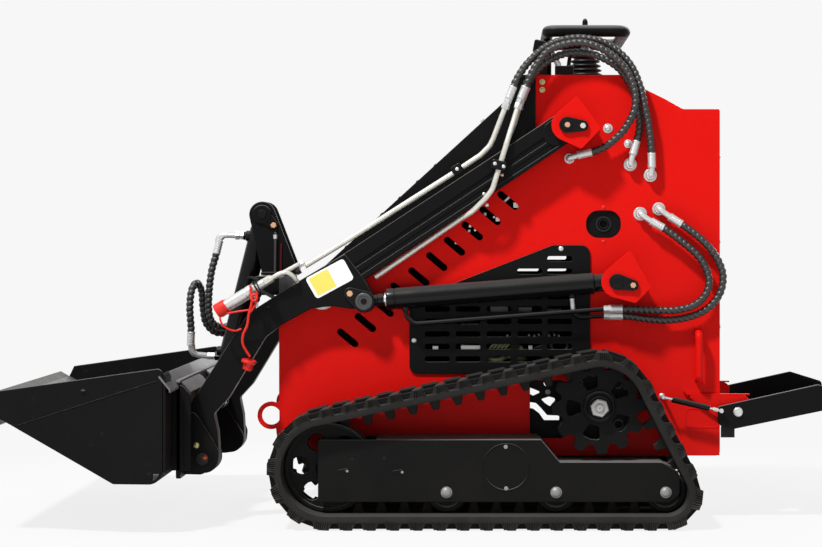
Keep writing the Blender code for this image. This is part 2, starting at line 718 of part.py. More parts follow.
LIFT_PIPES = (            # offset outwards, then (along, below) the barrel's axis from the base pin
    (0.006, ((0.565, 0.020), (0.565, 0.050), (0.545, 0.071), (0.038, 0.071))),
    (-0.008, ((0.121, 0.020), (0.121, 0.075), (0.105, 0.089), (0.038, 0.089))),
)


def lift_pipes(barrel, y):
    """Pipes from the two ports of a lift barrel to the hoses under its base."""
    for offset, route in LIFT_PIPES:
        line = [(x, y + offset, z) for x, z in placed(route, LIFT_BASE, LIFT_EYE)]
        barrel = join(barrel, tube(line, PIPE_R))
    return barrel


def rod_solid(base, eye, stroke, rod_r, y, half_width, eye_r):
    length = math.dist(base, eye)
    bottom = length - stroke - 0.030
    rod = turned_bar([(length - 0.004, 0.0), (length - 0.004, rod_r), (bottom, rod_r), (bottom, 0.0)], base,
                     eye, y)
    return join(rod, shaft(*eye, eye_r, y - half_width, y + half_width))


def cylinders(barrels, rods, tilt_barrel, tilt_rod):
    y = (ARM_IN + ARM_OUT) / 2
    lift = (LIFT_BASE, LIFT_EYE, LIFT_GLAND, LIFT_STROKE)
    barrel = lift_pipes(barrel_solid(*lift, LIFT_BARREL_R, LIFT_ROD_R, y, 0.020), y)
    pair(barrel, "lift_barrel", "black_paint", barrels)
    pair(rod_solid(LIFT_BASE, LIFT_EYE, LIFT_STROKE, LIFT_ROD_R, y, 0.013, 0.026), "lift_rod", "steel",
         rods)
    tilt = (TOWER_PIN, TILT_EYE, TILT_GLAND, TILT_STROKE)
    finish(barrel_solid(*tilt, TILT_BARREL_R, TILT_ROD_R, 0.0, 0.030), "tilt_barrel", "black_paint",
           tilt_barrel)
    finish(rod_solid(TOWER_PIN, TILT_EYE, TILT_STROKE, TILT_ROD_R, 0.0, 0.020, 0.024), "tilt_rod", "steel",
           tilt_rod)


# ---------------------------------------------------------------- bucket
def band(points, thickness):
    """A strip of even thickness whose outer side follows the points."""
    vectors = [Vector(p) for p in points]
    inner = []
    for i, here in enumerate(vectors):
        before = (here - vectors[i - 1]).normalized() if i else None
        after = (vectors[i + 1] - here).normalized() if i + 1 < len(vectors) else None
        normals = [Vector((-d.y, d.x)) for d in (before, after) if d]
        mean = sum(normals, Vector((0, 0))).normalized()
        inner.append(here + mean * thickness / mean.dot(normals[0]))
    return [tuple(v) for v in vectors] + [tuple(v) for v in reversed(inner)]


FLOOR_FRONT = (-0.983, 0.130)


def bucket(parent):
    back = [LIP, FLOOR_FRONT, (-0.900, 0.129)] + arc(-0.893, 0.165, 0.036, 280, 350, 4)
    back += [(-0.857, 0.360), (-0.866, 0.405)]
    shell = plate(band(back, BUCKET_PLATE), -(BUCKET_HALF - 0.002), BUCKET_HALF - 0.002)
    side = fillet([(-1.319, 0.325, 0.0), FLOOR_FRONT + (0.02,), (-0.884, 0.129, 0.006),
                   (-0.882, 0.156, 0.0), (-0.857, 0.156, 0.0),
                   (-0.857, 0.425, 0.014), (-1.301, 0.363, 0.004)])
    for sign in (-1, 1):
        shell = join(shell, plate(side, sign * (BUCKET_HALF - BUCKET_SIDE), sign * BUCKET_HALF))
    finish(shell, "bucket", "black_paint", parent)
    edge = placed([(0.001, -GAP), (0.018, -0.014), (0.095, -0.014), (0.095, -GAP)], LIP, FLOOR_FRONT)
    finish(plate(edge, -(BUCKET_HALF - 0.002), BUCKET_HALF - 0.002), "bucket_edge", "steel", parent)


def quick_attach(parent):
    """Plate behind the bucket with the ears of its pivot and of the tilt rod."""
    x1, t = ATTACH_X, 0.012
    window = [(-0.025, 0.165), (0.025, 0.165), (0.025, 0.345), (-0.025, 0.345)]
    outline = [(-ATTACH_HALF, 0.128), (ATTACH_HALF, 0.128), (ATTACH_HALF, 0.385), (-ATTACH_HALF, 0.385)]
    solid = sheet_x(outline, x1 - t, x1, [window])
    ear = [(x1 - 0.004, 0.129), (-0.800, 0.129)] + arc(*BUCKET_PIVOT, 0.040, 270, 395, 7)
    ear += [(-0.806, 0.283), (x1 - 0.004, 0.291)]
    for sign in (-1, 1):
        for y0 in (ARM_IN - 0.008 - LUG_PLATE, ARM_OUT + 0.008):
            solid = join(solid, plate(ear, sign * y0, sign * (y0 + LUG_PLATE)))
        pin = shaft(*BUCKET_PIVOT, PIN_R, sign * (ARM_IN - 0.012), sign * (ARM_OUT + 0.022), 20)
        solid = join(solid, pin)
        lug = around([(x1 - 0.004, TILT_EYE[1] - 0.03, 0.004), (*TILT_EYE, 0.026),
                      (x1 - 0.004, TILT_EYE[1] + 0.035, 0.004)])
        solid = join(solid, plate(lug, sign * 0.026, sign * 0.038))
        rib = box(BUCKET_BACK_X + GAP, x1 - t + 0.001, sign * RIB_IN, sign * (RIB_IN + 0.012), 0.170, 0.360)
        solid = join(solid, rib)
    finish(solid, "quick_attach", "black_paint", parent)


# ---------------------------------------------------------------- platform
def platform(parent):
    """Fold-up step: two side plates, a deck between them and a pivot pin each."""
    outline = fillet([(0.594, 0.262, 0.012), (0.623, 0.249, 0.01), (STEP_END_X, 0.314, 0.0),
                      (0.939, 0.336, 0.01), (0.849, 0.364, 0.012), (0.581, 0.305, 0.012)])
    y0, y1 = STEP_IN, STEP_IN + STEP_PLATE
    deck_line = placed([(0.040, -0.036), (0.302, -0.036), (0.302, -0.028), (0.040, -0.028)], STEP_PIVOT,
                       (STEP_PIVOT[0] + 0.98, STEP_PIVOT[1] + 0.199))
    solid = plate(deck_line, -(y0 + 0.004), y0 + 0.004)
    for sign in (-1, 1):
        solid = join(solid, plate(outline, sign * y0, sign * y1))
        solid = join(solid, shaft(*STEP_PIVOT, 0.009, sign * (BODY_HALF + 0.001), sign * (y1 + 0.005), 16))
        solid = join(solid, shaft(*STRUT_EYE, 0.004, sign * (y1 - 0.002), sign * (STRUT_Y - 0.005), 10))
    return finish(solid, "platform", "black_paint", parent)


def struts(barrels, rods):
    """Gas struts that help the platform up; each eye stays clear of its stud."""
    line = (STRUT_BASE, STRUT_EYE, STRUT_Y, 12)
    length = math.dist(STRUT_BASE, STRUT_EYE)
    body = turned_bar([(0.125, 0.0), (0.125, 0.0070), (0.030, 0.0070), (0.030, 0.0035), (0.002, 0.0035),
                       (0.002, 0.0)], *line)
    bore = turned_bar([(0.135, 0.0), (0.135, 0.0038), (0.036, 0.0038), (0.036, 0.0)], *line)
    foot = shaft(*STRUT_BASE, 0.007, STRUT_Y - 0.004, STRUT_Y + 0.004, 12)
    pair(cut(join(body, foot), bore), "strut_barrel", "black_paint", barrels)
    rod = turned_bar([(length - 0.002, 0.0), (length - 0.002, 0.0032), (0.060, 0.0032), (0.060, 0.0)],
                     *line)
    eye = shaft(*STRUT_EYE, 0.007, STRUT_Y - 0.004, STRUT_Y + 0.004, 12)
    pair(join(rod, eye), "strut_rod", "steel", rods)


# ---------------------------------------------------------------- pipes and hoses
# Routes beside the body: each point is (x, distance out from the side plate, z).
PIPES = {                 # on the left arm, from the hose end down to the elbow
    "boom_pipe_upper": [
        (0.0187, 0.0350, 1.1150), (-0.0180, 0.0350, 1.0200), (-0.0280, 0.0350, 1.0000), (-0.0520, 0.0350, 0.9760),
        (-0.1150, 0.0350, 0.9340), (-0.4130, 0.0350, 0.7450), (-0.5200, 0.0350, 0.6800)],
    "boom_pipe_lower": [
        (0.0507, 0.0370, 1.1150), (0.0350, 0.0450, 1.0630), (0.0270, 0.0630, 1.0370), (0.0180, 0.0690, 1.0070),
        (0.0050, 0.0690, 0.9650), (-0.0200, 0.0690, 0.8840), (-0.0400, 0.0680, 0.8580), (-0.0750, 0.0550, 0.8240),
        (-0.1100, 0.0370, 0.8030), (-0.3330, 0.0350, 0.6510)],
    "boom_pipe_inner": [
        (0.0540, 0.0145, 1.1150), (0.0390, 0.0145, 1.0630), (0.0155, 0.0175, 1.0045)],
}
BOOM_HOSES = (            # on the left side, from a pipe's end over to the body
    [
        (0.0513, 0.0370, 1.1167), (0.0640, 0.0380, 1.1480), (0.0800, 0.0400, 1.1850), (0.1040, 0.0430, 1.2260),
        (0.1386, 0.0450, 1.2590), (0.2039, 0.0450, 1.2750), (0.2613, 0.0450, 1.2630), (0.3092, 0.0450, 1.2320),
        (0.3428, 0.0450, 1.1900), (0.3600, 0.0450, 1.1360), (0.3546, 0.0430, 1.0880), (0.3266, 0.0350, 1.0390),
        (0.2853, 0.0290, 1.0020), (0.2490, 0.0270, 0.9860), (0.2050, 0.0250, 0.9750), (0.1860, 0.0230, 0.9680),
        (0.1860, 0.0010, 0.9680)],
    [
        (0.0194, 0.0350, 1.1170), (0.0320, 0.0350, 1.1500), (0.0480, 0.0350, 1.1840), (0.0760, 0.0290, 1.2240),
        (0.1300, 0.0210, 1.2700), (0.1960, 0.0210, 1.2890), (0.2680, 0.0210, 1.2810), (0.3180, 0.0220, 1.2520),
        (0.3520, 0.0270, 1.2130), (0.3740, 0.0315, 1.1600), (0.3850, 0.0315, 1.1100), (0.3960, 0.0290, 1.0600),
        (0.4040, 0.0250, 0.9920), (0.4060, 0.0230, 0.9440), (0.4030, 0.0210, 0.9230), (0.4030, 0.0010, 0.9230)],
    [
        (0.0547, 0.0145, 1.1170), (0.0680, 0.0165, 1.1500), (0.0840, 0.0180, 1.1840), (0.1180, 0.0090, 1.2220),
        (0.1650, -0.0010, 1.2470), (0.2150, -0.0010, 1.2530), (0.2700, 0.0030, 1.2400), (0.3150, 0.0115, 1.2120),
        (0.3440, 0.0120, 1.1750), (0.3620, 0.0115, 1.1320), (0.3720, 0.0115, 1.0900), (0.3730, 0.0130, 1.0450),
        (0.3630, 0.0190, 1.0050), (0.3540, 0.0220, 0.9740), (0.3490, 0.0210, 0.9520), (0.3490, 0.0010, 0.9520)],
)
LIFT_HOSES = {            # on both sides, from the body down to the barrel's pipes
    "lift_hose_upper": [
        (0.3760, 0.0010, 0.8200), (0.3760, 0.0230, 0.8200), (0.3980, 0.0270, 0.8030), (0.4370, 0.0300, 0.7810),
        (0.4810, 0.0330, 0.7490), (0.5240, 0.0350, 0.7120), (0.5480, 0.0350, 0.6760), (0.5570, 0.0350, 0.6360),
        (0.5450, 0.0360, 0.6000), (0.5130, 0.0380, 0.5740), (0.4680, 0.0400, 0.5630), (0.4150, 0.0410, 0.5630),
        (0.3670, 0.0410, 0.5650), (0.3220, 0.0410, 0.5665), (0.2800, 0.0410, 0.5655)],
    "lift_hose_lower": [
        (0.4260, 0.0010, 0.8330), (0.4260, 0.0230, 0.8330), (0.4480, 0.0270, 0.8160), (0.4930, 0.0300, 0.7860),
        (0.5340, 0.0330, 0.7540), (0.5660, 0.0330, 0.7200), (0.5880, 0.0320, 0.6820), (0.5950, 0.0310, 0.6450),
        (0.5850, 0.0300, 0.6040), (0.5540, 0.0290, 0.5670), (0.5070, 0.0270, 0.5450), (0.4480, 0.0270, 0.5360),
        (0.3870, 0.0270, 0.5400), (0.3400, 0.0270, 0.5465), (0.2815, 0.0270, 0.5475)],
}
TILT_HOSES = {            # (x, y, z) from the tilt barrel's ports to the crossbeam
    "tilt_hose_upper": [
        (-0.7400, 0.0000, 0.7620), (-0.7700, 0.0000, 0.7620), (-0.7820, 0.0000, 0.7520), (-0.7875, 0.0000, 0.7350),
        (-0.7955, 0.0000, 0.7040), (-0.8070, 0.0000, 0.6620), (-0.8142, 0.0020, 0.6060), (-0.8160, 0.0080, 0.5500),
        (-0.8060, 0.0180, 0.5160), (-0.7800, 0.0340, 0.5040), (-0.7420, 0.0520, 0.5150), (-0.7120, 0.0680, 0.5480),
        (-0.6920, 0.0780, 0.5920), (-0.6830, 0.0840, 0.6260), (-0.6635, 0.0840, 0.6270)],
    "tilt_hose_lower": [
        (-0.8080, 0.0000, 0.4240), (-0.8500, -0.0120, 0.4300), (-0.8620, -0.0180, 0.4480), (-0.8610, -0.0220, 0.5000),
        (-0.8640, -0.0260, 0.5600), (-0.8600, -0.0200, 0.6080), (-0.8480, -0.0040, 0.6290), (-0.8370, 0.0140, 0.6060),
        (-0.8350, 0.0260, 0.5600), (-0.8280, 0.0400, 0.5150), (-0.8020, 0.0580, 0.4880), (-0.7600, 0.0780, 0.4920),
        (-0.7200, 0.0980, 0.5300), (-0.6950, 0.1100, 0.5800), (-0.6830, 0.1180, 0.6200), (-0.6635, 0.1180, 0.6210)],
}


def beside(route, sign):
    """World points of a route that runs beside the body, on the side that sign gives."""
    return [(x, sign * (BODY_HALF + out), z) for x, out, z in route]


def quick_coupler():
    """Two quick couplers side by side in a bulkhead plate on the elbow of the left arm."""
    front, rear = (-0.736, 0.576), (-0.545, 0.668)
    length = math.dist(front, rear)
    body = [(length, 0.0), (length, 0.009), (0.150, 0.009), (0.150, 0.015), (0.110, 0.015), (0.110, 0.020),
            (0.0, 0.020), (0.0, 0.0)]
    outer, inner = [turned_bar(body, front, rear, y, 12) for y in (-(ARM_OUT + 0.021), -(ARM_OUT - 0.023))]
    bulkhead = placed([(0.098, 0.027), (0.098, -0.0355), (0.104, -0.0355), (0.104, 0.027)], front, rear)
    return join(join(outer, inner), plate(bulkhead, -(ARM_OUT + 0.047), -(ARM_IN + 0.005)))


def pipes_and_hoses(parent, boom_parent):
    for name, route in PIPES.items():
        finish(tube(beside(route, -1), PIPE_R), name, "zinc", boom_parent)
    for number, route in enumerate(BOOM_HOSES, 1):
        finish(tube(beside(route, -1), HOSE_R), "boom_hose_" + str(number), "rubber", parent)
    for name, route in LIFT_HOSES.items():
        pair(tube(beside(route, 1), HOSE_R), name, "rubber", parent)
    for name, route in TILT_HOSES.items():
        finish(tube(route, HOSE_R), name, "rubber", boom_parent)
    finish(quick_coupler(), "quick_coupler", "zinc", boom_parent)


# ---------------------------------------------------------------- assembly
clear_scene()
PARTS = collection("skid_steer_loader")
machine = empty("machine", 0, 0)
pair(side_plate(), "side_plate", "red_paint", machine)
pair(plate(grille_outline(), BODY_HALF + GAP, BODY_HALF + GAP + 0.005, grille_slots()), "grille",
     "black_paint", machine)
body_panels(machine)
brackets(machine)
tie_loops(machine)
controls(machine)
undercarriage(machine)

boom_axis = empty("boom_axis", *BOOM_PIVOT, machine)
boom(boom_axis)
lift_barrels = {side: empty(side + "_lift_barrel_axis", *LIFT_BASE, machine) for side in SIDES}
lift_rods = {side: empty(side + "_lift_rod_axis", *LIFT_EYE, lift_barrels[side]) for side in SIDES}
tilt_barrel_axis = empty("tilt_barrel_axis", *TOWER_PIN, boom_axis)
tilt_rod_axis = empty("tilt_rod_axis", *TILT_EYE, tilt_barrel_axis)
cylinders(lift_barrels, lift_rods, tilt_barrel_axis, tilt_rod_axis)
bucket_axis = empty("bucket_axis", *BUCKET_PIVOT, boom_axis)
bucket(bucket_axis)
quick_attach(bucket_axis)
step_axis = empty("step_axis", *STEP_PIVOT, machine)
platform(step_axis)
strut_barrels = {side: empty(side + "_strut_barrel_axis", *STRUT_BASE, machine) for side in SIDES}
strut_rods = {side: empty(side + "_strut_rod_axis", *STRUT_EYE, strut_barrels[side]) for side in SIDES}
struts(strut_barrels, strut_rods)
pipes_and_hoses(machine, boom_axis)
machine.location.x = DATUM_SHIFT
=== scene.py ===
import bisect
import math

import bmesh
import bpy
from mathutils import Matrix, Vector

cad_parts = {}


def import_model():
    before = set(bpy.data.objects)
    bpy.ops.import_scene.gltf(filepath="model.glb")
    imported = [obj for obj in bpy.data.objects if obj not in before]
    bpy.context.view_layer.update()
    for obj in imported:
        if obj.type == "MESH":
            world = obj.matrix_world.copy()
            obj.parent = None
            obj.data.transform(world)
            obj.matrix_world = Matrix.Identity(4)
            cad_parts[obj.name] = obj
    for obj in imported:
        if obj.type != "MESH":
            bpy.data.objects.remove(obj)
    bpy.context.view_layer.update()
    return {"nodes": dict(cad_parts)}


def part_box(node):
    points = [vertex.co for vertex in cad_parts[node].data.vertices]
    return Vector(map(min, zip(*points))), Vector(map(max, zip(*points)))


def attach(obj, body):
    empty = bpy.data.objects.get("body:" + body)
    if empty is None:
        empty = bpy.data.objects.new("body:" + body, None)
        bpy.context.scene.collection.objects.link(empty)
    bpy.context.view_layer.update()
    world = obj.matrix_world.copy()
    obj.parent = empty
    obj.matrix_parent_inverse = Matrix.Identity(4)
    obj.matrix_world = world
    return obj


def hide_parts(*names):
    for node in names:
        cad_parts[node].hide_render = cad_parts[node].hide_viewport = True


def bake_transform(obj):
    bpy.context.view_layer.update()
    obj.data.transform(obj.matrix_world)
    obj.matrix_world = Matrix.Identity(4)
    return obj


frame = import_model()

# Shapes are drawn from the same datum plane in the undercarriage as the CAD source. Lengths are in
# metres, apart from the tables of points given to mm().
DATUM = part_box("rear_panel")[1].x - 0.590

BODY_HALF = 0.235
FRONT_X, REAR_X, BELLY_Z = -0.593, 0.590, 0.171
TOP_Z, CONSOLE_Z = 1.193, 1.101
HOOD_FOOT, HOOD_TOP = (FRONT_X, 0.568), (0.016, 1.125)
BOOM_PIVOT, BUCKET_PIVOT = (0.178, 1.054), (-0.786, 0.171)
TOWER_PIN, TILT_EYE = (-0.660, 0.820), (-0.790, 0.300)
LIFT_BASE, LIFT_EYE = (0.310, 0.639), (-0.361, 0.587)
STEP_PIVOT = (0.635, 0.291)
STRUT_BASE, STRUT_EYE = (0.434, 0.331), (0.589, 0.295)
ARM_IN, ARM_OUT = 0.245, 0.295
HOSE_R, PIPE_R = 0.0095, 0.0072
PIN_R, PIN_BORE = 0.017, 0.0176
GAP = 0.0003            # keeps faces that meet from lying in one plane
SIDES = (-1, 1)
UP, ACROSS, REARWARD = (0, 0, 1), (0, 1, 0), (1, 0, 0)


# ---------------------------------------------------------------- camera
def add_object(name, data):
    obj = bpy.data.objects.new(name, data)
    bpy.context.scene.collection.objects.link(obj)
    return obj


def make_camera():
    data = bpy.data.cameras.new("camera")
    data.lens, data.sensor_width = 89.2, 36
    data.shift_x, data.shift_y = -0.1083, -0.0468
    camera = add_object("camera", data)
    camera.location = (DATUM, -5.7, 0.763)
    camera.rotation_euler = (math.radians(90), 0, 0)
    bpy.context.scene.camera = camera


make_camera()


# ---------------------------------------------------------------- materials
def feed(tree, node, inputs):
    """Give each input a value or a colour, or link it to another node's output."""
    for key, value in inputs.items():
        if isinstance(value, bpy.types.NodeSocket):
            tree.links.new(value, node.inputs[key])
        else:
            node.inputs[key].default_value = (*value, 1) if isinstance(value, tuple) else value
    return node


def add(tree, kind, inputs, **settings):
    made = tree.nodes.new("ShaderNode" + kind)
    for key, value in settings.items():
        setattr(made, key, value)
    return feed(tree, made, inputs)


def material(name):
    made = bpy.data.materials.new(name)
    made.use_nodes = True
    return made, made.node_tree, made.node_tree.nodes["Principled BSDF"]


def cloud(tree, scale, detail, rough):
    """Noise over the object's own coordinates."""
    place = add(tree, "TexCoord", {}).outputs["Object"]
    noise = add(tree, "TexNoise", {"Vector": place, "Scale": scale, "Detail": detail, "Roughness": rough})
    return noise.outputs["Fac"]


def span(tree, value, low, high, to_low, to_high):
    """Map a value from one range to another, clamped."""
    ends = {"From Min": low, "From Max": high, "To Min": to_low, "To Max": to_high}
    return add(tree, "MapRange", {"Value": value, **ends}).outputs["Result"]


def maths(tree, operation, a, b):
    return add(tree, "Math", {0: a, 1: b}, operation=operation).outputs["Value"]


def mixed(tree, share, first, second):
    """A colour between two, each a colour or another node's output."""
    return add(tree, "Mix", {0: share, 6: first, 7: second}, data_type="RGBA").outputs[2]


def height_of(tree, output):
    """The Z part of a shaded point's place or normal."""
    return add(tree, "SeparateXYZ", {"Vector": add(tree, "NewGeometry", {}).outputs[output]}).outputs["Z"]


def surface(name, colour, other, rough, metal=0.0, specular=0.5, patch=3.0, grain=(900.0, 0.05), dust=None,
            wear=None, rough_swing=0.06, top_sheen=None):
    """A finish that drifts between two colours, with fine grain, and where asked dust, wear and a painted highlight
    on faces that look up.

    dust is (colour, most of it, height at which it has gone); wear is (colour, share, scale);
    The last argument is the share of a pale grey painted on faces that look up, a painted highlight of their lit
    tops.
    """
    made, tree, shader = material(name)
    base = mixed(tree, span(tree, cloud(tree, patch, 5.0, 0.6), 0.35, 0.65, 0.0, 0.5), colour, other)
    if wear:
        worn, share, scale = wear
        base = mixed(tree, span(tree, cloud(tree, scale, 9.0, 0.72), 0.60, 0.68, 0.0, share), base, worn)
    if dust:
        dirt, most, height = dust
        low = span(tree, height_of(tree, "Position"), 0.0, height, most, 0.0)
        patches = span(tree, cloud(tree, 14.0, 6.0, 0.7), 0.3, 0.75, 0.15, 1.0)
        base = mixed(tree, maths(tree, "MULTIPLY", low, patches), base, dirt)
    if top_sheen:
        # painted highlight: pale grey on faces that look up, standing for their lit tops
        base = mixed(tree, span(tree, height_of(tree, "Normal"), 0.25, 0.85, 0.0, top_sheen), base, SHEEN_GREY)
    roughness = span(tree, cloud(tree, patch * 6, 4.0, 0.6), 0.3, 0.7, rough - rough_swing, rough + rough_swing)
    bump = add(tree, "Bump", {"Strength": grain[1], "Distance": 0.001, "Height": cloud(tree, grain[0], 3.0, 0.5)})
    feed(tree, shader, {"Metallic": metal, "Specular IOR Level": specular, "Base Color": base,
                        "Roughness": roughness, "Normal": bump.outputs["Normal"]})
    return made


DUST = (0.20, 0.17, 0.13)
# pale grey of the painted highlight on up-facing faces
SHEEN_GREY = (0.17, 0.168, 0.160)
# the up-facing share given to a paint is a painted highlight on its tops
PAINTS = {
    "red": surface("red_paint", (0.6, 0.0066, 0.0045), (0.545, 0.0056, 0.004), 0.34, specular=0.045,
        grain=(420.0, 0.1), dust=(DUST, 0.05, 0.3)),
    "black": surface("black_paint", (0.0042, 0.0042, 0.0043), (0.0062, 0.0061, 0.006), 0.42, specular=0.06,
        grain=(700.0, 0.16), dust=(DUST, 0.03, 0.3), top_sheen=0.75),
    "gloss_black": surface("gloss_black_paint", (0.0028, 0.0028, 0.0031), (0.004, 0.004, 0.0045), 0.2,
        specular=0.16, grain=(380.0, 0.06), top_sheen=0.22),
    "worn_black": surface("worn_black_paint", (0.0042, 0.0042, 0.0043), (0.0068, 0.0066, 0.0064), 0.46,
        specular=0.06, grain=(520.0, 0.22), wear=((0.03, 0.029, 0.027), 0.4, 34.0), top_sheen=0.55),
    "rubber": surface("track_rubber", (0.0128, 0.0122, 0.0114), (0.0205, 0.0194, 0.0178), 0.78, specular=0.1,
        patch=9.0, grain=(330.0, 0.55), dust=((0.13, 0.112, 0.088), 0.16, 0.1), top_sheen=0.16),
    # darker rubber, painted shade of the pockets between the lugs
    "shaded_rubber": surface("track_rubber_painted_shade_between_lugs", (0.005, 0.005, 0.005), (0.0085, 0.0082, 0.0078), 0.7,
        specular=0.08, patch=9.0, grain=(330.0, 0.45), top_sheen=0.1),
    "hose": surface("hose_rubber", (0.0085, 0.0078, 0.0072), (0.012, 0.0108, 0.0098), 0.44, specular=0.6,
        patch=20.0, grain=(600.0, 0.12)),
    "boot": surface("boot_rubber", (0.0055, 0.0055, 0.0058), (0.0085, 0.0085, 0.0085), 0.46, specular=0.25,
        patch=16.0, grain=(500.0, 0.15)),
    # near-black standing for painted shade inside the body
    "shade_black": surface("painted_shade_black", (0.0012, 0.0012, 0.0012), (0.0022, 0.0022, 0.0022), 0.8, specular=0.05,
        patch=20.0),
    "chrome": surface("polished_rod", (0.6, 0.61, 0.63), (0.52, 0.53, 0.56), 0.14, metal=1.0, patch=12.0,
        grain=(1500.0, 0.02), rough_swing=0.03),
    "zinc": surface("zinc_plating", (0.6, 0.585, 0.53), (0.48, 0.465, 0.41), 0.36, metal=0.55, patch=26.0,
        grain=(1100.0, 0.1), wear=((0.34, 0.315, 0.26), 0.45, 70.0)),
    "silver": surface("bright_fittings", (0.56, 0.565, 0.56), (0.44, 0.445, 0.44), 0.34, metal=0.55, patch=40.0,
        grain=(1300.0, 0.08), wear=((0.32, 0.31, 0.28), 0.4, 90.0)),
    "dull": surface("dull_zinc_bolts", (0.25, 0.248, 0.24), (0.18, 0.178, 0.17), 0.48, metal=0.45, patch=60.0,
        grain=(900.0, 0.25), wear=((0.3, 0.29, 0.27), 0.4, 120.0)),
    "nut": surface("grey_zinc_nuts", (0.36, 0.357, 0.345), (0.27, 0.268, 0.258), 0.42, metal=0.45, patch=60.0,
        grain=(900.0, 0.2), wear=((0.42, 0.41, 0.38), 0.4, 120.0)),
    "copper": surface("yellow_passivated_bolts", (0.62, 0.34, 0.21), (0.52, 0.38, 0.2), 0.34, metal=0.55,
        patch=60.0, grain=(1200.0, 0.12)),
    "brass": surface("brass_bolts", (0.5, 0.45, 0.22), (0.42, 0.37, 0.18), 0.36, metal=0.55, patch=60.0,
        grain=(1200.0, 0.12)),
    "steel": surface("worn_edge_steel", (0.045, 0.045, 0.047), (0.09, 0.088, 0.086), 0.4, metal=0.5, patch=18.0,
        grain=(260.0, 0.35), wear=((0.24, 0.23, 0.22), 0.6, 26.0)),
    "grey_steel": surface("scuffed_grey_steel", (0.11, 0.11, 0.113), (0.16, 0.16, 0.163), 0.46, metal=0.3,
        patch=14.0, grain=(300.0, 0.3), wear=((0.03, 0.03, 0.031), 0.7, 30.0)),
    "engine": surface("cast_engine", (0.05, 0.051, 0.053), (0.08, 0.081, 0.083), 0.56, metal=0.3, patch=22.0,
        grain=(500.0, 0.5)),
    "white": surface("white_enamel", (0.78, 0.78, 0.76), (0.72, 0.72, 0.7), 0.38, specular=0.3, patch=30.0,
        grain=(700.0, 0.05)),
    "yellow": surface("yellow_enamel", (0.72, 0.62, 0.12), (0.68, 0.58, 0.1), 0.38, specular=0.3, patch=30.0,
        grain=(700.0, 0.05)),
    "green": surface("green_casting", (0.15, 0.165, 0.075), (0.1, 0.115, 0.06), 0.46, metal=0.3, patch=30.0,
        grain=(500.0, 0.3)),
    "red_plastic": surface("red_plastic", (0.6, 0.02, 0.012), (0.5, 0.015, 0.01), 0.36, specular=0.22, patch=40.0,
        grain=(500.0, 0.12)),
    "dark_red": surface("dark_red_sleeve", (0.085, 0.004, 0.0075), (0.06, 0.0035, 0.006), 0.46, specular=0.15,
        patch=40.0, grain=(500.0, 0.15)),
    "orange": surface("orange_cap", (0.48, 0.09, 0.04), (0.4, 0.07, 0.03), 0.38, specular=0.25, patch=40.0,
        grain=(500.0, 0.12)),
}


# ---------------------------------------------------------------- outlines
def mm(text, start=0.0, side=1):
    """Points written in millimetres; the first number of each is counted from start, towards side."""
    points = ([float(number + "e-3") for number in point.split()] for point in text.split(","))
    return [(start + side * first, *rest) for first, *rest in points]


def arc(x, z, radius, start, end, steps):
    """Points on an arc; angles in degrees from +X towards +Z."""
    angles = [math.radians(start + (end - start) * i / steps) for i in range(steps + 1)]
    return [(x + radius * math.cos(a), z + radius * math.sin(a)) for a in angles]


def circle(x, z, radius, steps=32):
    return arc(x, z, radius, 0, 360, steps)[:-1]


def fillet(corners, step=9):
    """An outline from corners (x, z, radius), each rounded to its own radius."""
    points = []
    for i, (x, z, radius) in enumerate(corners):
        if not radius:
            points.append((x, z))
            continue
        here = Vector((x, z))
        before = (Vector(corners[i - 1][:2]) - here).normalized()
        after = (Vector(corners[(i + 1) % len(corners)][:2]) - here).normalized()
        half = before.angle(after) / 2
        centre = here + (before + after).normalized() * radius / math.sin(half)
        first = here + before * radius / math.tan(half) - centre
        turn = math.copysign(math.pi - 2 * half, first.x * (here - centre).y - first.y * (here - centre).x)
        count = max(1, round(math.degrees(abs(turn)) / step))
        for k in range(count + 1):
            bend = Matrix.Rotation(turn * k / count, 2) @ first
            points.append((centre.x + bend.x, centre.y + bend.y))
    return points


def rounded(x0, z0, x1, z1, radius, step=9):
    """A rectangle with rounded corners."""
    return fillet([(x0, z0, radius), (x1, z0, radius), (x1, z1, radius), (x0, z1, radius)], step)


def around(circles, step=7):
    """The outline round circles (x, z, radius), given anticlockwise from +X to +Z."""
    leaving = []
    for (x, z, radius), (next_x, next_z, next_radius) in zip(circles, circles[1:] + circles[:1]):
        lean = math.acos((radius - next_radius) / math.hypot(next_x - x, next_z - z))
        leaving.append(math.degrees(math.atan2(next_z - z, next_x - x) - lean))
    points = []
    for i, (x, z, radius) in enumerate(circles):
        turn = (leaving[i] - leaving[i - 1]) % 360
        points += arc(x, z, radius, leaving[i - 1], leaving[i - 1] + turn, max(1, round(turn / step)))
    return points


def turned(points, centre, degrees):
    spin, middle = Matrix.Rotation(math.radians(degrees), 2), Vector(centre)
    return [tuple(middle + spin @ (Vector(p) - middle)) for p in points]


def placed(points, start, end):
    """Points given along and across a line from start, in the X-Z plane."""
    along = (Vector(end) - Vector(start)).normalized()
    across = Vector((-along.y, along.x))
    return [tuple(Vector(start) + along * a + across * b) for a, b in points]


def slot_outline(x, z, length, width, degrees, steps=10):
    reach = (length - width) / 2
    ends = arc(reach, 0, width / 2, -90, 90, steps) + arc(-reach, 0, width / 2, 90, 270, steps)
    return [(x + px, z + pz) for px, pz in turned(ends, (0, 0), degrees)]


def smooth(points, steps=6):
    """Points on a Catmull-Rom curve through the given points."""
    vectors = [Vector(p) for p in points]
    ends = [2 * vectors[0] - vectors[1]] + vectors + [2 * vectors[-1] - vectors[-2]]
    result = []
    for before, start, end, after in zip(ends, ends[1:], ends[2:], ends[3:]):
        for t in (k / steps for k in range(steps)):
            result.append(0.5 * (2 * start + (end - before) * t + (2 * before - 5 * start + 4 * end - after) * t * t
                                 + (3 * start - before - 3 * end + after) * t ** 3))
    return result + [ends[-2]]


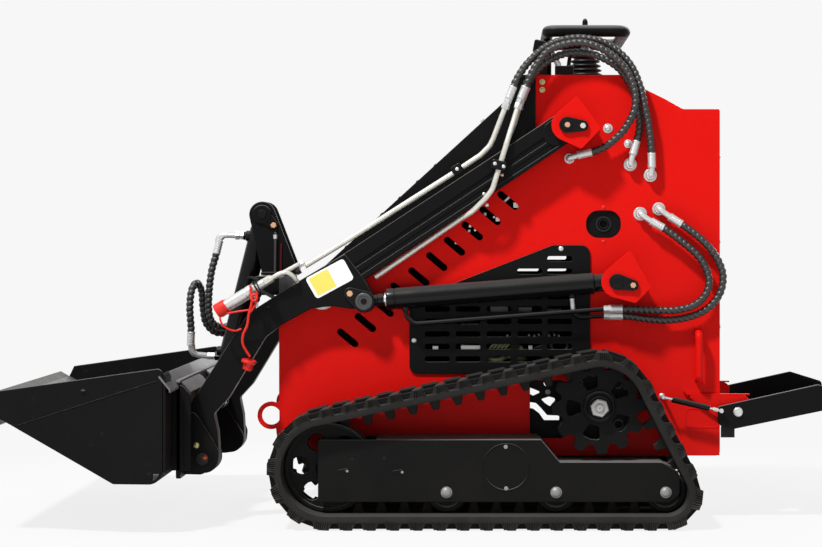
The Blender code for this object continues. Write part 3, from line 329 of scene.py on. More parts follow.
def bent(points, radius, step=12):
    """Points of a pipe run with each inner corner rounded to a bend radius."""
    vectors = [Vector(p) for p in points]
    result = [vectors[0]]
    for before, here, after in zip(vectors, vectors[1:], vectors[2:]):
        back, forth = (before - here), (after - here)
        turn = math.pi - back.angle(forth)
        if turn < math.radians(4):
            result.append(here)
            continue
        reach = min(radius * math.tan(turn / 2), back.length * 0.49, forth.length * 0.49)
        true_radius = reach / math.tan(turn / 2)
        start, end = here + back.normalized() * reach, here + forth.normalized() * reach
        centre = here + (back.normalized() + forth.normalized()).normalized() * math.hypot(true_radius, reach)
        first, last = (start - centre).normalized(), (end - centre).normalized()
        count = max(2, round(math.degrees(turn) / step))
        result += [centre + first.slerp(last, k / count) * true_radius for k in range(count + 1)]
    return result + [vectors[-1]]


def distances(vectors):
    """How far along the line each of its points is."""
    result = [0.0]
    for a, b in zip(vectors, vectors[1:]):
        result.append(result[-1] + (b - a).length)
    return result


def evenly(points, spacing):
    """The same line with points at an even spacing."""
    vectors = [Vector(p) for p in points]
    lengths = distances(vectors)
    count = max(2, round(lengths[-1] / spacing))
    result, k = [], 0
    for i in range(count + 1):
        at = lengths[-1] * i / count
        while k < len(vectors) - 2 and lengths[k + 1] < at:
            k += 1
        result.append(vectors[k].lerp(vectors[k + 1], (at - lengths[k]) / max(1e-9, lengths[k + 1] - lengths[k])))
    return result


def oval(x, y, z, reach_x, reach_z, count):
    """A closed ring of points that faces along Y."""
    angles = [math.tau * k / count for k in range(count)]
    return [(x + reach_x * math.cos(a), y, z + reach_z * math.sin(a)) for a in angles]


# ---------------------------------------------------------------- piece building
XZ = Matrix(((1, 0, 0, 0), (0, 0, -1, 0), (0, 1, 0, 0), (0, 0, 0, 1)))     # flat outline (x, z), depth along Y
YZ = Matrix(((0, 0, 1, 0), (1, 0, 0, 0), (0, 1, 0, 0), (0, 0, 0, 1)))      # flat outline (y, z), depth along X


def solid(rings, closed=False):
    """A mesh through rings of points, where a ring may be one point; open ends are capped."""
    work = bmesh.new()
    made = [[work.verts.new(p) for p in ring] for ring in rings]
    for a, b in zip(made, made[1:] + (made[:1] if closed else [])):
        count = max(len(a), len(b))
        for k in range(count if count > 1 else 0):
            n = (k + 1) % count
            if len(a) == 1:
                work.faces.new((a[0], b[n], b[k]))
            elif len(b) == 1:
                work.faces.new((a[k], a[n], b[0]))
            else:
                work.faces.new((a[k], a[n], b[n], b[k]))
    for end in () if closed else (made[0], made[-1]):
        if len(end) > 1:
            work.faces.new(end)
    bmesh.ops.recalc_face_normals(work, faces=work.faces)
    return emptied(work, bpy.data.meshes.new("solid"))


def emptied(work, mesh):
    """Move a bmesh into a mesh."""
    work.to_mesh(mesh)
    work.free()
    return mesh


def evaluated(obj):
    """An object's mesh with its modifiers applied."""
    return bpy.data.meshes.new_from_object(obj.evaluated_get(bpy.context.evaluated_depsgraph_get()))


class Piece:
    """Gathers shapes into one mesh with its materials, drawn on the right side, at +Y."""

    def __init__(self, name, body, main, replaces=(), soften=0.0, angle=38):
        self.name, self.body, self.main, self.replaces = name, body, main, replaces
        self.soften, self.angle = soften, angle
        self.work, self.paints = bmesh.new(), [main]

    def take(self, mesh, paint=None, matrix=None):
        paint = paint or self.main
        if paint not in self.paints:
            self.paints.append(paint)
        if matrix is not None:
            mesh.transform(matrix)
            if matrix.determinant() < 0:
                mesh.flip_normals()
        known, index = len(self.work.faces), self.paints.index(paint)
        self.work.from_mesh(mesh)
        self.work.faces.ensure_lookup_table()
        for face in self.work.faces[known:]:
            face.material_index, face.smooth = index, True
        bpy.data.meshes.remove(mesh)

    # -- shapes
    def plate(self, outline, low, high, soft=0.0012, rings=1, paint=None, holes=(), plane=XZ):
        """A plate from an outline, with rounded edges. low and high are along its depth axis."""
        soft = min(soft, abs(high - low) * 0.45)
        curve = bpy.data.curves.new("flat", "CURVE")
        curve.dimensions, curve.fill_mode = "2D", "BOTH"
        curve.extrude, curve.offset = abs(high - low) / 2 - soft, -soft
        curve.bevel_depth, curve.bevel_resolution = soft, rings
        for points in (outline, *holes):
            spline = curve.splines.new("POLY")
            spline.points.add(len(points) - 1)
            for point, place in zip(spline.points, points):
                point.co = (*place, 0, 1)
            spline.use_cyclic_u = True
        obj = add_object("flat", curve)
        mesh = evaluated(obj)
        bpy.data.objects.remove(obj, do_unlink=True)
        bpy.data.curves.remove(curve)
        work = bmesh.new()
        work.from_mesh(mesh)
        bmesh.ops.remove_doubles(work, verts=work.verts, dist=1e-6)
        bmesh.ops.recalc_face_normals(work, faces=work.faces)
        depth = Vector([abs(v) for v in plane.col[2][:3]])
        self.take(emptied(work, mesh), paint, Matrix.Translation(depth * ((low + high) / 2)) @ plane)

    def block(self, x0, x1, y0, y1, z0, z1, soft=0.0015, paint=None):
        self.plate([(x0, z0), (x1, z0), (x1, z1), (x0, z1)], y0, y1, soft, 1, paint)

    def lathe(self, profile, origin, axis, sides=32, paint=None, phase=0.0, hollow=False):
        """A solid of revolution; the profile's points are (distance along the axis, radius).

        Its ends are closed onto the axis, unless it is hollow.
        """
        turn, start = Vector(axis).to_track_quat("Z", "Y").to_matrix(), Vector(origin)
        if not hollow:
            ends = [[(along, 0)] if radius else [] for along, radius in (profile[0], profile[-1])]
            profile = ends[0] + list(profile) + ends[1]
        rings = []
        for along, radius in profile:
            angles = [phase + math.tau * k / sides for k in range(sides if radius > 1e-6 else 1)]
            places = [Vector((radius * math.cos(a), radius * math.sin(a), along)) for a in angles]
            rings.append([start + turn @ place for place in places])
        self.take(solid(rings), paint)

    def lathe_y(self, profile, x, z, sides=32, paint=None, phase=0.0, hollow=False):
        """A solid of revolution about an axis along Y; its profile runs in Y."""
        self.lathe(profile, (x, 0, z), ACROSS, sides, paint, phase, hollow)

    def disc(self, x, z, radius, y_from, y_to, soft=0.0012, sides=32, paint=None):
        """A round bar along Y with rounded edges."""
        s = soft * 0.3
        self.lathe_y([(y_from, radius - soft), (y_from + s, radius - s), (y_from + soft, radius),
                      (y_to - soft, radius), (y_to - s, radius - s), (y_to, radius - soft)], x, z, sides, paint)

    def sweep(self, points, radius, sides=14, closed=False, paint=None, swell=lambda along, angle: 1):
        """A round tube along points. swell(along, angle) scales its radius."""
        pts = [Vector(p) for p in points]
        count = len(pts)
        ahead, behind = pts[1:] + pts[-1:], pts[:1] + pts[:-1]
        if closed:
            ahead, behind = pts[1:] + pts[:1], pts[-1:] + pts[:-1]
        tangents = [(after - before).normalized() for before, after in zip(behind, ahead)]
        side = tangents[0].orthogonal().normalized()
        frames = []
        for i, tangent in enumerate(tangents):
            if i:
                side = (side - tangent * side.dot(tangent)).normalized()
            frames.append((side.copy(), tangent.cross(side)))
        twist = 0.0
        if closed:
            back = (side - tangents[0] * side.dot(tangents[0])).normalized()
            twist = math.atan2(back.dot(frames[0][1]), back.dot(frames[0][0]))
        rings = []
        for i, (point, along, (first, second)) in enumerate(zip(pts, distances(pts), frames)):
            size = radius[i] if isinstance(radius, list) else radius
            ring = []
            for angle in (math.tau * k / sides for k in range(sides)):
                turn = angle - twist * i / count
                out = first * math.cos(turn) + second * math.sin(turn)
                ring.append(point + out * (size * swell(along, angle)))
            rings.append(ring)
        self.take(solid(rings, closed), paint)

    def bolt(self, x, z, y, radius=0.008, head=0.005, paint="silver", side=1, dome=False, washer=False):
        """A bolt head that stands out of a face at y; side -1 makes it face -Y."""
        if washer:
            self.lathe_y([(y, radius * 1.45), (y + side * 0.0012, radius * 1.45),
                          (y + side * 0.0016, radius * 1.38)], x, z, 28, paint)
            y += side * 0.0014
        if dome:
            rings = [(y + side * head * math.sin(math.radians(a)), radius * math.cos(math.radians(a)))
                     for a in (15, 30, 45, 60, 75)]
            self.lathe_y([(y, radius), *rings, (y + side * head, 0.0)], x, z, 28, paint)
        else:
            self.lathe_y([(y, radius), (y + side * head * 0.8, radius), (y + side * head, radius * 0.86)],
                         x, z, 6, paint, 0.2)

    def skin(self, node):
        """A CAD node's own shape, cleaned of its inner edges so that it can be softened."""
        mesh = frame["nodes"][node].data.copy()
        work = bmesh.new()
        work.from_mesh(mesh)
        bmesh.ops.remove_doubles(work, verts=work.verts, dist=1e-5)
        bmesh.ops.dissolve_limit(work, angle_limit=math.radians(0.5), verts=work.verts, edges=work.edges)
        self.take(emptied(work, mesh), None, Matrix.Translation((-DATUM, 0, 0)))

    def carve(self, outline, y_from, y_to):
        """Cut a plate-shaped hollow out of everything gathered so far."""
        cutter = Piece("cutter", None, self.main)
        cutter.plate(outline, y_from, y_to, 0.0)
        tool, whole = cutter.object(), self.object(keep=True)
        change = whole.modifiers.new("Boolean", "BOOLEAN")
        change.operation, change.solver, change.object = "DIFFERENCE", "EXACT", tool
        bpy.context.view_layer.update()
        result = evaluated(whole)
        self.work.clear()
        self.work.from_mesh(result)
        for rest in (whole, tool):
            bpy.data.objects.remove(rest, do_unlink=True)
        bpy.data.meshes.remove(result)

    # -- finishing
    def object(self, keep=False):
        mesh = bpy.data.meshes.new(self.name)
        self.work.to_mesh(mesh)
        if not keep:
            self.work.free()
        for paint in self.paints:
            mesh.materials.append(PAINTS[paint])
        return add_object(self.name, mesh)

    def mirrored(self):
        """Make one object at +Y and its mirror image at -Y, for each side of the machine."""
        right = self.object()
        left = add_object(self.name, right.data.copy())
        left.data.transform(Matrix.Scale(-1, 4, ACROSS))
        left.data.flip_normals()
        for side, obj in (("left_", left), ("right_", right)):
            self.settle(obj, side + self.name, self.body.replace("SIDE_", side),
                [side + node for node in self.replaces])

    def single(self):
        obj = self.object()
        self.settle(obj, self.name, self.body, self.replaces)
        return obj

    def settle(self, obj, name, body, nodes):
        obj.name = obj.data.name = name
        obj.data.transform(Matrix.Translation((DATUM, 0, 0)))
        obj.data.set_sharp_from_angle(angle=math.radians(self.angle))
        if self.soften:
            bevel = obj.modifiers.new("Bevel", "BEVEL")
            bevel.width, bevel.segments, bevel.use_clamp_overlap = self.soften, 2, True
            bevel.limit_method, bevel.angle_limit = "ANGLE", math.radians(40)
        obj.modifiers.new("Normals", "WEIGHTED_NORMAL").keep_sharp = True
        if body:
            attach(obj, body)
        if nodes:
            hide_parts(*nodes)


# ---------------------------------------------------------------- hoses
BOOM_HOSES = (
    mm("51.3 -272 1116.7, 64 -273 1148, 80 -275 1185, 104 -278 1226, 138.6 -280 1259, 203.9 -280 1275, "
        "261.3 -280 1263, 309.2 -280 1232, 342.8 -280 1190, 360 -280 1136, 354.6 -278 1088, 326.6 -270 1039, "
        "285.3 -264 1002, 249 -262 986, 205 -260 975, 186 -258 968, 186 -236 968"),
    mm("19.4 -270 1117, 32 -270 1150, 48 -270 1184, 76 -264 1224, 130 -256 1270, 196 -256 1289, 268 -256 1281, "
        "318 -257 1252, 352 -262 1213, 374 -266.5 1160, 385 -266.5 1110, 396 -264 1060, 404 -260 992, "
        "406 -258 944, 403 -256 923, 403 -236 923"),
    mm("54.7 -249.5 1117, 68 -251.5 1150, 84 -253 1184, 118 -244 1222, 165 -234 1247, 215 -234 1253, "
        "270 -238 1240, 315 -246.5 1212, 344 -247 1175, 362 -246.5 1132, 372 -246.5 1090, 373 -248 1045, "
        "363 -254 1005, 354 -257 974, 349 -256 952, 349 -236 952"),
)
LIFT_HOSES = {
    "lift_hose_upper": mm("376 236 820, 376 258 820, 398 262 803, 437 265 781, 481 268 749, 524 270 712, "
        "548 270 676, 557 270 636, 545 271 600, 513 273 574, 468 275 563, 415 276 563, 367 276 565, 322 276 566.5, "
        "280 276 565.5"),
    "lift_hose_lower": mm("426 236 833, 426 258 833, 448 262 816, 493 265 786, 534 268 754, 566 268 720, "
        "588 267 682, 595 266 645, 585 265 604, 554 264 567, 507 262 545, 448 262 536, 387 262 540, 340 262 546.5, "
        "281.5 262 547.5"),
}
TILT_HOSES = {
    "tilt_hose_upper": mm("-740 0 762, -770 0 762, -782 0 752, -787.5 0 735, -795.5 0 704, -807 0 662, "
        "-814.2 2 606, -816 8 550, -806 18 516, -780 34 504, -742 52 515, -712 68 548, -692 78 592, -683 84 626, "
        "-663.5 84 627"),
    "tilt_hose_lower": mm("-808 0 424, -850 -12 430, -862 -18 448, -861 -22 500, -864 -26 560, -860 -20 608, "
        "-848 -4 629, -837 14 606, -835 26 560, -828 40 515, -802 58 488, -760 78 492, -720 98 530, -695 110 580, "
        "-683 118 620, -663.5 118 621"),
}
COIL_PITCH = 0.0146       # the guard strip's pitch along a hose
CRIMPS = 4                # shallow rings pressed into a ferrule
HOSE_STEP = 0.0016        # spacing of the rings that a hose is drawn with
FERRULE = 0.039           # the longest ferrule


def guard(along, angle):
    """The strip wound round a hose: a rounded bead with a groove between turns."""
    share = (along / COIL_PITCH - angle / math.tau) % 1
    return 0.78 + 0.34 * math.sin(math.pi * share) ** 0.6


def ferrule(length, radius):
    """Profile of a crimped ferrule: a lip, a long crimped barrel with shallow rings, and a collar."""
    outline = [(0.0, radius * 0.93), (0.0012, radius), (0.003, radius), (0.0042, radius * 0.95)]
    step = (length - 0.012) / CRIMPS
    for k in range(CRIMPS):
        at = 0.005 + (length - 0.012) * k / CRIMPS
        outline += [(at + step * along, radius * share)
                    for along, share in ((0, 0.95), (0.75, 0.955), (0.85, 0.915), (0.95, 0.95))]
    return outline + [(length - 0.006, radius * 0.97), (length - 0.001, radius * 0.97), (length, radius * 0.86)]


def hose(name, route, body_a, body_b, node, ends, fit_a, fit_b):
    """A hose with a wound guard, its crimped ferrules and its end fittings.

    ends are how far the ferrules reach from the two ends of the route; fit_a and fit_b are
    "pipe", for a straight nut onto a pipe, or "wall", for a banjo elbow into a wall.
    """
    line = evenly(smooth(route, 8), HOSE_STEP)
    total, count = distances(line)[-1], len(line)
    piece = Piece(name, None, "hose", angle=60)
    first, last = round(ends[0] / total * count), count - 1 - round(ends[1] / total * count)
    piece.sweep(line, [HOSE_R * (1.0 if first <= i <= last else 0.68) for i in range(count)], 16, swell=guard)
    obj = piece.single()
    obj.modifiers.clear()
    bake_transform(obj)
    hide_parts(node)
    for tag, body, at, step, reach, kind in (("a", body_a, 0, 1, ends[0], fit_a),
                                             ("b", body_b, count - 1, -1, ends[1], fit_b)):
        trim = Piece(name + "_end_" + tag, body, "silver", angle=35)
        steps = max(3, round(reach / total * count))
        base, outer, inner = line[at], line[at + step * steps], line[at + step * max(1, steps - 18)]
        direction, toward = (inner - outer).normalized(), (line[at + step * 6] - base).normalized()
        trim.lathe(ferrule(min(FERRULE, reach * 0.86), HOSE_R * 1.2), outer - direction * 0.004, direction, 24)
        if kind == "pipe":
            trim.lathe(mm("0 9.2, 2 10.2, 13 10.2, 15 9.2"), base - toward * 0.004, toward, 6, phase=0.3)
            trim.lathe(mm("15 8.4, 22 8.4, 23 7.6"), base - toward * 0.004, toward, 20)
        else:
            trim.sweep([line[at + step * k] for k in range(steps - 10)], 0.008, 16)
        trim.single()


for number, route in enumerate(BOOM_HOSES, 1):
    hose(f"spiral_boom_hose_{number}", route, "boom", "machine", f"boom_hose_{number}",
        (0.042, (0.08, 0.077, 0.081)[number - 1]), "pipe", "wall")
for key, route in LIFT_HOSES.items():
    for side, sign in (("left", -1), ("right", 1)):
        sided = [(x, sign * y, z) for x, y, z in route]
        hose(f"{side}_spiral_{key}", sided, "machine", side + "_lift_barrel", f"{side}_{key}", (0.091, 0.042),
            "wall", "pipe")
for key, route in TILT_HOSES.items():
    hose("spiral_" + key, route[::-1], "boom", "tilt_barrel", key, (0.03, (0.085 if "upper" in key else 0.11)),
        "wall", "wall")


# ---------------------------------------------------------------- body
def side_outline():
    # how far the side's slope lies below the hood's, and the tie ring at its front edge
    drop = 0.0043 / math.cos(math.atan2(HOOD_TOP[1] - HOOD_FOOT[1], HOOD_TOP[0] - FRONT_X))
    ring_x, ring_z, ring_r = FRONT_X - 0.021, 0.279, 0.037
    corners = [(FRONT_X, BELLY_Z, 0.004), (REAR_X, BELLY_Z, 0.012), (REAR_X, CONSOLE_Z, 0.006),
               (0.491, CONSOLE_Z, 0.02), (0.441, 1.129, 0.05), (0.378, 1.16, 0.05), (0.33, TOP_Z, 0.015),
               (0.0955, TOP_Z, 0.0), (0.0955, TOP_Z - 0.06, 0.0), (FRONT_X, HOOD_FOOT[1] - drop, 0.0),
               (FRONT_X, ring_z + ring_r, 0.01)]
    return fillet(corners) + arc(ring_x, ring_z, ring_r, 70, 290, 36)


def grille_outline(margin=0.0):
    """The side window's outline, drawn in by a margin."""
    m = margin
    return fillet([(-0.243 + m, 0.391 + m, 0.022), (0.242 - m, 0.391 + m, 0.012), (0.242 - m, 0.736 - m, 0.025),
                   (0.142 + 0.2 * m, 0.736 - m, 0.02), (-0.098 + 0.3 * m, 0.643 - m, 0.02),
                   (-0.243 + m, 0.586 - m, 0.02)])


VENT_LENGTH, VENT_WIDTH, VENT_TILT = 0.069, 0.0182, -40
# middles of the slanted vents; middle and first row of each column of slots in the side grille
VENTS = [(-0.409 + i * 0.0478, 0.487 + i * 0.041) for i in range(10)]
GRILLE_COLUMNS = ((-0.168, 4), (-0.0855, 3), (-0.003, 2), (0.0795, 1), (0.16, 0))


def side_plates():
    part = Piece("side_panel", "machine", "red", ["side_plate"])
    holes = [slot_outline(x, z, VENT_LENGTH, VENT_WIDTH, VENT_TILT) for x, z in VENTS]
    holes += [circle(FRONT_X - 0.021, 0.279, 0.025, 40), rounded(0.231, 0.755, 0.3245, 0.829, 0.034),
              rounded(0.08, 0.218, 0.172, 0.374, 0.01), grille_outline(0.018)]
    part.plate(side_outline(), BODY_HALF - 0.008, BODY_HALF, 0.0011, holes=holes)
    # hinge ear of the platform, with a folded lip along its top
    part.plate(fillet(mm("500 334 4, 545 300 10, 610 255 10, 665 262 20, 671 334 20")), BODY_HALF - 0.002,
               BODY_HALF + 0.012, holes=[circle(*STEP_PIVOT, 0.01, 24)])
    part.plate(mm("490.5 344.5, 500 334, 668 334, 668 338, 502 338, 492.5 347.5"), BODY_HALF, BODY_HALF + 0.012)
    # pressed pocket low down at the rear
    pocket = mm("496.3 245.2 12, 588 245.2 8, 588 298.9 8, 496.3 298.9 14")
    inner = mm("500.3 249.2 9, 584 249.2 6, 584 294.9 6, 500.3 294.9 11")
    part.plate(fillet(pocket), BODY_HALF - 0.0005, BODY_HALF + 0.0012, 0.0006, holes=[fillet(inner)])
    part.mirrored()


def filler_recesses():
    """Dark cup behind the oval hole, with the mouth of a pipe and two screws."""
    part = Piece("filler_cup", "machine", "black")
    part.plate(rounded(0.229, 0.753, 0.3265, 0.831, 0.035), 0.2195, 0.2265, 0.001)
    part.lathe_y(mm("226.5 16, 230 16.5, 230 20.5, 226 21, 224 21"), 0.2779, 0.7925, 40, "boot")
    part.lathe_y(mm("226.2 10, 229 10.5, 229 13.5, 226.2 14, 225.5 0"), 0.2779, 0.7925, 40, "gloss_black")
    part.mirrored()
    screws = Piece("filler_screws", "machine", "red_plastic")
    for z in (0.8372, 0.7458):
        screws.bolt(0.2775, z, BODY_HALF + 0.0002, 0.0048, 0.0022, "red_plastic", dome=True)
    screws.mirrored()


def grilles():
    part = Piece("grille_panel", "machine", "black", ["grille"])
    slots = []
    for x, first in GRILLE_COLUMNS:
        for z in (0.699 - r * 0.0336 for r in range(first, 9)):
            slots.append(rounded(x - 0.033, z - 0.00735, x + 0.033, z + 0.00735, 0.0058, 18))
    part.plate(grille_outline(), BODY_HALF + GAP, BODY_HALF + 0.0053, 0.0009, holes=slots)
    part.mirrored()
    bolts = Piece("grille_bolts", "machine", "silver")
    for x, z in mm("163.5 726.3, -230.5 480.2, 228 405"):
        bolts.bolt(x, z, BODY_HALF + 0.0053, 0.007, 0.0035, dome=True)
    bolts.mirrored()


def body_shell():
    for node in ("belly_pan", "front_panel", "rear_panel", "top_cover", "hood"):
        paint = "black" if node in ("belly_pan", "hood") else "red"
        part = Piece(node + "_sheet", "machine", paint, [node], soften=0.001)
        part.skin(node)
        part.single()
    # fasteners at the hood's corners, and raised lips across its slope
    trim = Piece("hood_trim", "machine", "black")
    foot, top = Vector((HOOD_FOOT[0], 0, HOOD_FOOT[1])), Vector((HOOD_TOP[0], 0, HOOD_TOP[1]))
    along = (top - foot).normalized()
    up = Vector((-along.z, 0, along.x))
    for share in (0.1, 0.9):
        for y in (-0.19, 0.19):
            at = foot.lerp(top, share) + Vector((0, y, 0))
            trim.lathe(mm("-1 11, 1.6 11, 2 10"), at, up, 28, "silver")
            trim.lathe(mm("2 7, 5.8 7, 7 5.8"), at, up, 6, "silver")
    for share in (0.28, 0.36, 0.44, 0.52, 0.6, 0.68):
        middle = foot.lerp(top, share)
        lip = [middle + along * a + up * b for a, b in mm("-12 -0.5, 14 -0.5, 10 6.5, 4 7.5")]
        trim.plate([(p.x, p.z) for p in lip], -0.125, 0.125, 0.0006)
    trim.single()
    # rear panel: a screened service door with a frame and screws
    door = Piece("rear_service_door", "machine", "black")
    slats = [rounded(-0.15, z - 0.006, 0.15, z + 0.006, 0.004, 30) for z in (0.56 + 0.03 * k for k in range(13))]
    door.plate(rounded(-0.185, 0.5, 0.185, 0.99, 0.02), REAR_X + 0.0002, REAR_X + 0.0042, 0.0009, holes=slats,
               plane=YZ)
    door.plate(rounded(-0.17, 0.52, 0.17, 0.97, 0.01), REAR_X - 0.0005, REAR_X + 0.0008, 0.0003, paint="boot",
               plane=YZ)
    for y in (-0.172, 0.172):
        for z in (0.515, 0.745, 0.975):
            door.lathe(mm("0 6.2, 2.8 5.8, 4.2 4, 4.6 0"), (REAR_X + 0.004, y, z), REARWARD, 24, "silver")
    door.single()


def vent_baffle():
    """Inner wall behind the slanted vents, near-black as painted shade inside the body."""
    part = Piece("vent_baffle", "machine", "shade_black")
    part.plate(mm("-505 520, -435 462, 66 818, 60 925, 0 925"), 0.201, 0.2035, 0.0004)
    # light wires and clips that show through the upper vents
    for x, z, half in mm("43 843 7.5, -6 805.5 6, -40.3 819.5 3.6, -16.1 811.4 2.8, -80.6 787 3.6, "
            "-83.3 773.8 3.6, -67.2 776.4 3, -118 742 3.4"):
        part.block(x - half, x + half, 0.204, 0.2262, z - half, z + half, 0.002, "white")
    part.sweep(mm("8 222 850, 30 222 870"), 0.003, 10, paint="white")
    part.mirrored()


def bolts_on_body():
    part = Piece("side_bolts", "machine", "silver")
    part.bolt(0.2895, 1.049, BODY_HALF, 0.0088, 0.004, dome=True, washer=True)
    part.bolt(0.3439, 1.008, BODY_HALF, 0.0078, 0.0036, dome=True, washer=True)
    for z in (1.1736, 1.1527):
        part.bolt(0.1134, z, BODY_HALF, 0.0052, 0.0036, "brass", dome=True, washer=True)
    part.mirrored()


def brackets():
    """The clevises of the boom and of the lift cylinder, each with a keeper on its pin."""
    for name, node, (x, z), corners, keeper, paint in (
            ("boom_clevis", "boom_bracket", BOOM_PIVOT, mm("36 -56, 83 -8, 25 69"), (0.219, 1.0518), "zinc"),
            ("lift_clevis", "lift_bracket", LIFT_BASE, mm("47 -50, 83 -14, 34 76"), (0.3517, 0.6302), "copper")):
        part = Piece(name, "machine", "red", [node])
        part.plate(around([(x, z, 0.042)] + [(x + a, z + b, 0.006) for a, b in corners]), 0.303, 0.313, 0.0014)
        (a, b), (c, d) = [(a * 0.92, b * 0.86) for a, b in corners[:2]]
        inner = [(x + a + 0.006, z + b), (x + c, z + d), (x + 0.06, z + 0.018)]
        part.plate(around([(*p, 0.004) for p in inner]), BODY_HALF + GAP, 0.305)
        # weld bead at the foot of the web
        bead = around([(*p, 0.0075) for p in inner], 20)
        part.sweep([(a, BODY_HALF + 0.002, b) for a, b in bead], 0.0035, 8, True)
        part.disc(x, z, PIN_R, BODY_HALF + GAP, 0.319, 0.0015, 36, "gloss_black")
        part.mirrored()
        lock = Piece(name + "_keeper", "machine", "gloss_black")
        lock.plate(around([(x, z, 0.0215), (*keeper, 0.0145)]), 0.3132, 0.3215, 0.0018)
        lock.disc(x, z, 0.015, 0.3205, 0.3245)
        lock.bolt(*keeper, 0.3215, 0.008, 0.0055, paint)
        if node == "boom_bracket":
            lock.bolt(x, z, 0.3245, 0.0078, 0.005, "copper")
        lock.mirrored()


def tie_loops():
    part = Piece("tie_bar", "machine", "red", ["tie_loop"])
    x, low, high, seat, proud = 0.531, 0.376, 0.5, BODY_HALF + 0.0006, BODY_HALF + 0.034
    part.sweep(bent([(x, seat, high), (x, proud, high), (x, proud, low), (x, seat, low)], 0.014), 0.01, 20)
    for z in (high, low):
        part.lathe_y(mm("0.2 10.5, 2 9.8, 4.2 6.6", BODY_HALF), x, z, 24)
    part.mirrored()


def controls():
    part = Piece("grab_rail", "machine", "black", ["grab_handle"])
    front, rear, half, height = 0.13, 0.338, 0.2, 1.314
    loop = bent([(front + 0.05, -half, height), (rear, -half, height), (rear, half, height), (front, half, height),
                 (front, -half, height), (front + 0.05, -half, height)], 0.034, 8)
    part.sweep(evenly(loop, 0.006)[:-1], 0.016, 22, True)
    for y in (-0.11, 0.11):
        part.sweep([(front, y, height), (front, y, TOP_Z + 0.001)], 0.011, 18)
        part.lathe(mm("0 26, 3 26, 4 25"), (front, y, TOP_Z + 0.0004), UP, 28)
        for dx in (0.018, -0.018):
            part.lathe(mm("0 4.5, 3 4.5, 3.6 3.8"), (front + dx, y, TOP_Z + 0.004), UP, 6, "silver")
    part.single()
    stick = Piece("lever_and_boot", "machine", "boot", ["control_lever"])
    seat = (0.238, 0, 0)
    ribs = mm("0.6 0, 0.6 52, 4 53, 6 51", TOP_Z)
    for k in range(6):
        z, r = TOP_Z + 0.01 + 0.0125 * k, 0.0495 - 0.0026 * k
        ribs += [(z, r - 0.008), (z + 0.0028, r - 0.0085), (z + 0.0058, r - 0.001), (z + 0.0078, r),
                 (z + 0.0098, r - 0.001)]
    stick.lathe(ribs + mm("1278 26, 1284 14, 1290 9.2, 1290 0"), seat, UP, 48)
    stick.lathe(mm("1262 6.2, 1330 6.2"), seat, UP, 24, "silver")
    stick.lathe(mm("1318 6.6, 1322 7.8, 1350 8, 1360 7.6, 1366 5.5, 1368.8 2, 1369 0"), seat, UP, 28, "black")
    stick.single()
    # small control block ahead of the handle, with a spool and its pipe
    small = Piece("aux_control", "machine", "black")
    small.block(0.098, 0.128, -0.192, -0.15, TOP_Z + 0.0006, TOP_Z + 0.066, 0.003)
    small.plate(fillet(mm("88 1262 4, 118 1255 4, 128 1285 6, 94 1293 6")), -0.2, -0.146, 0.003)
    small.block(0.15, 0.2, -0.172, -0.12, TOP_Z + 0.0006, TOP_Z + 0.03, 0.003)
    small.lathe(mm("0 8.5, 18 8.5, 20 7, 44 6"), (0.16, -0.146, TOP_Z + 0.03), (-0.4, 0, 1), 24, "silver")
    small.lathe(mm("0 5.5, 30 5.5, 34 12, 46 12, 50 6"), (0.186, -0.146, TOP_Z + 0.026), (0.15, 0, 1), 24,
                "gloss_black")
    small.single()


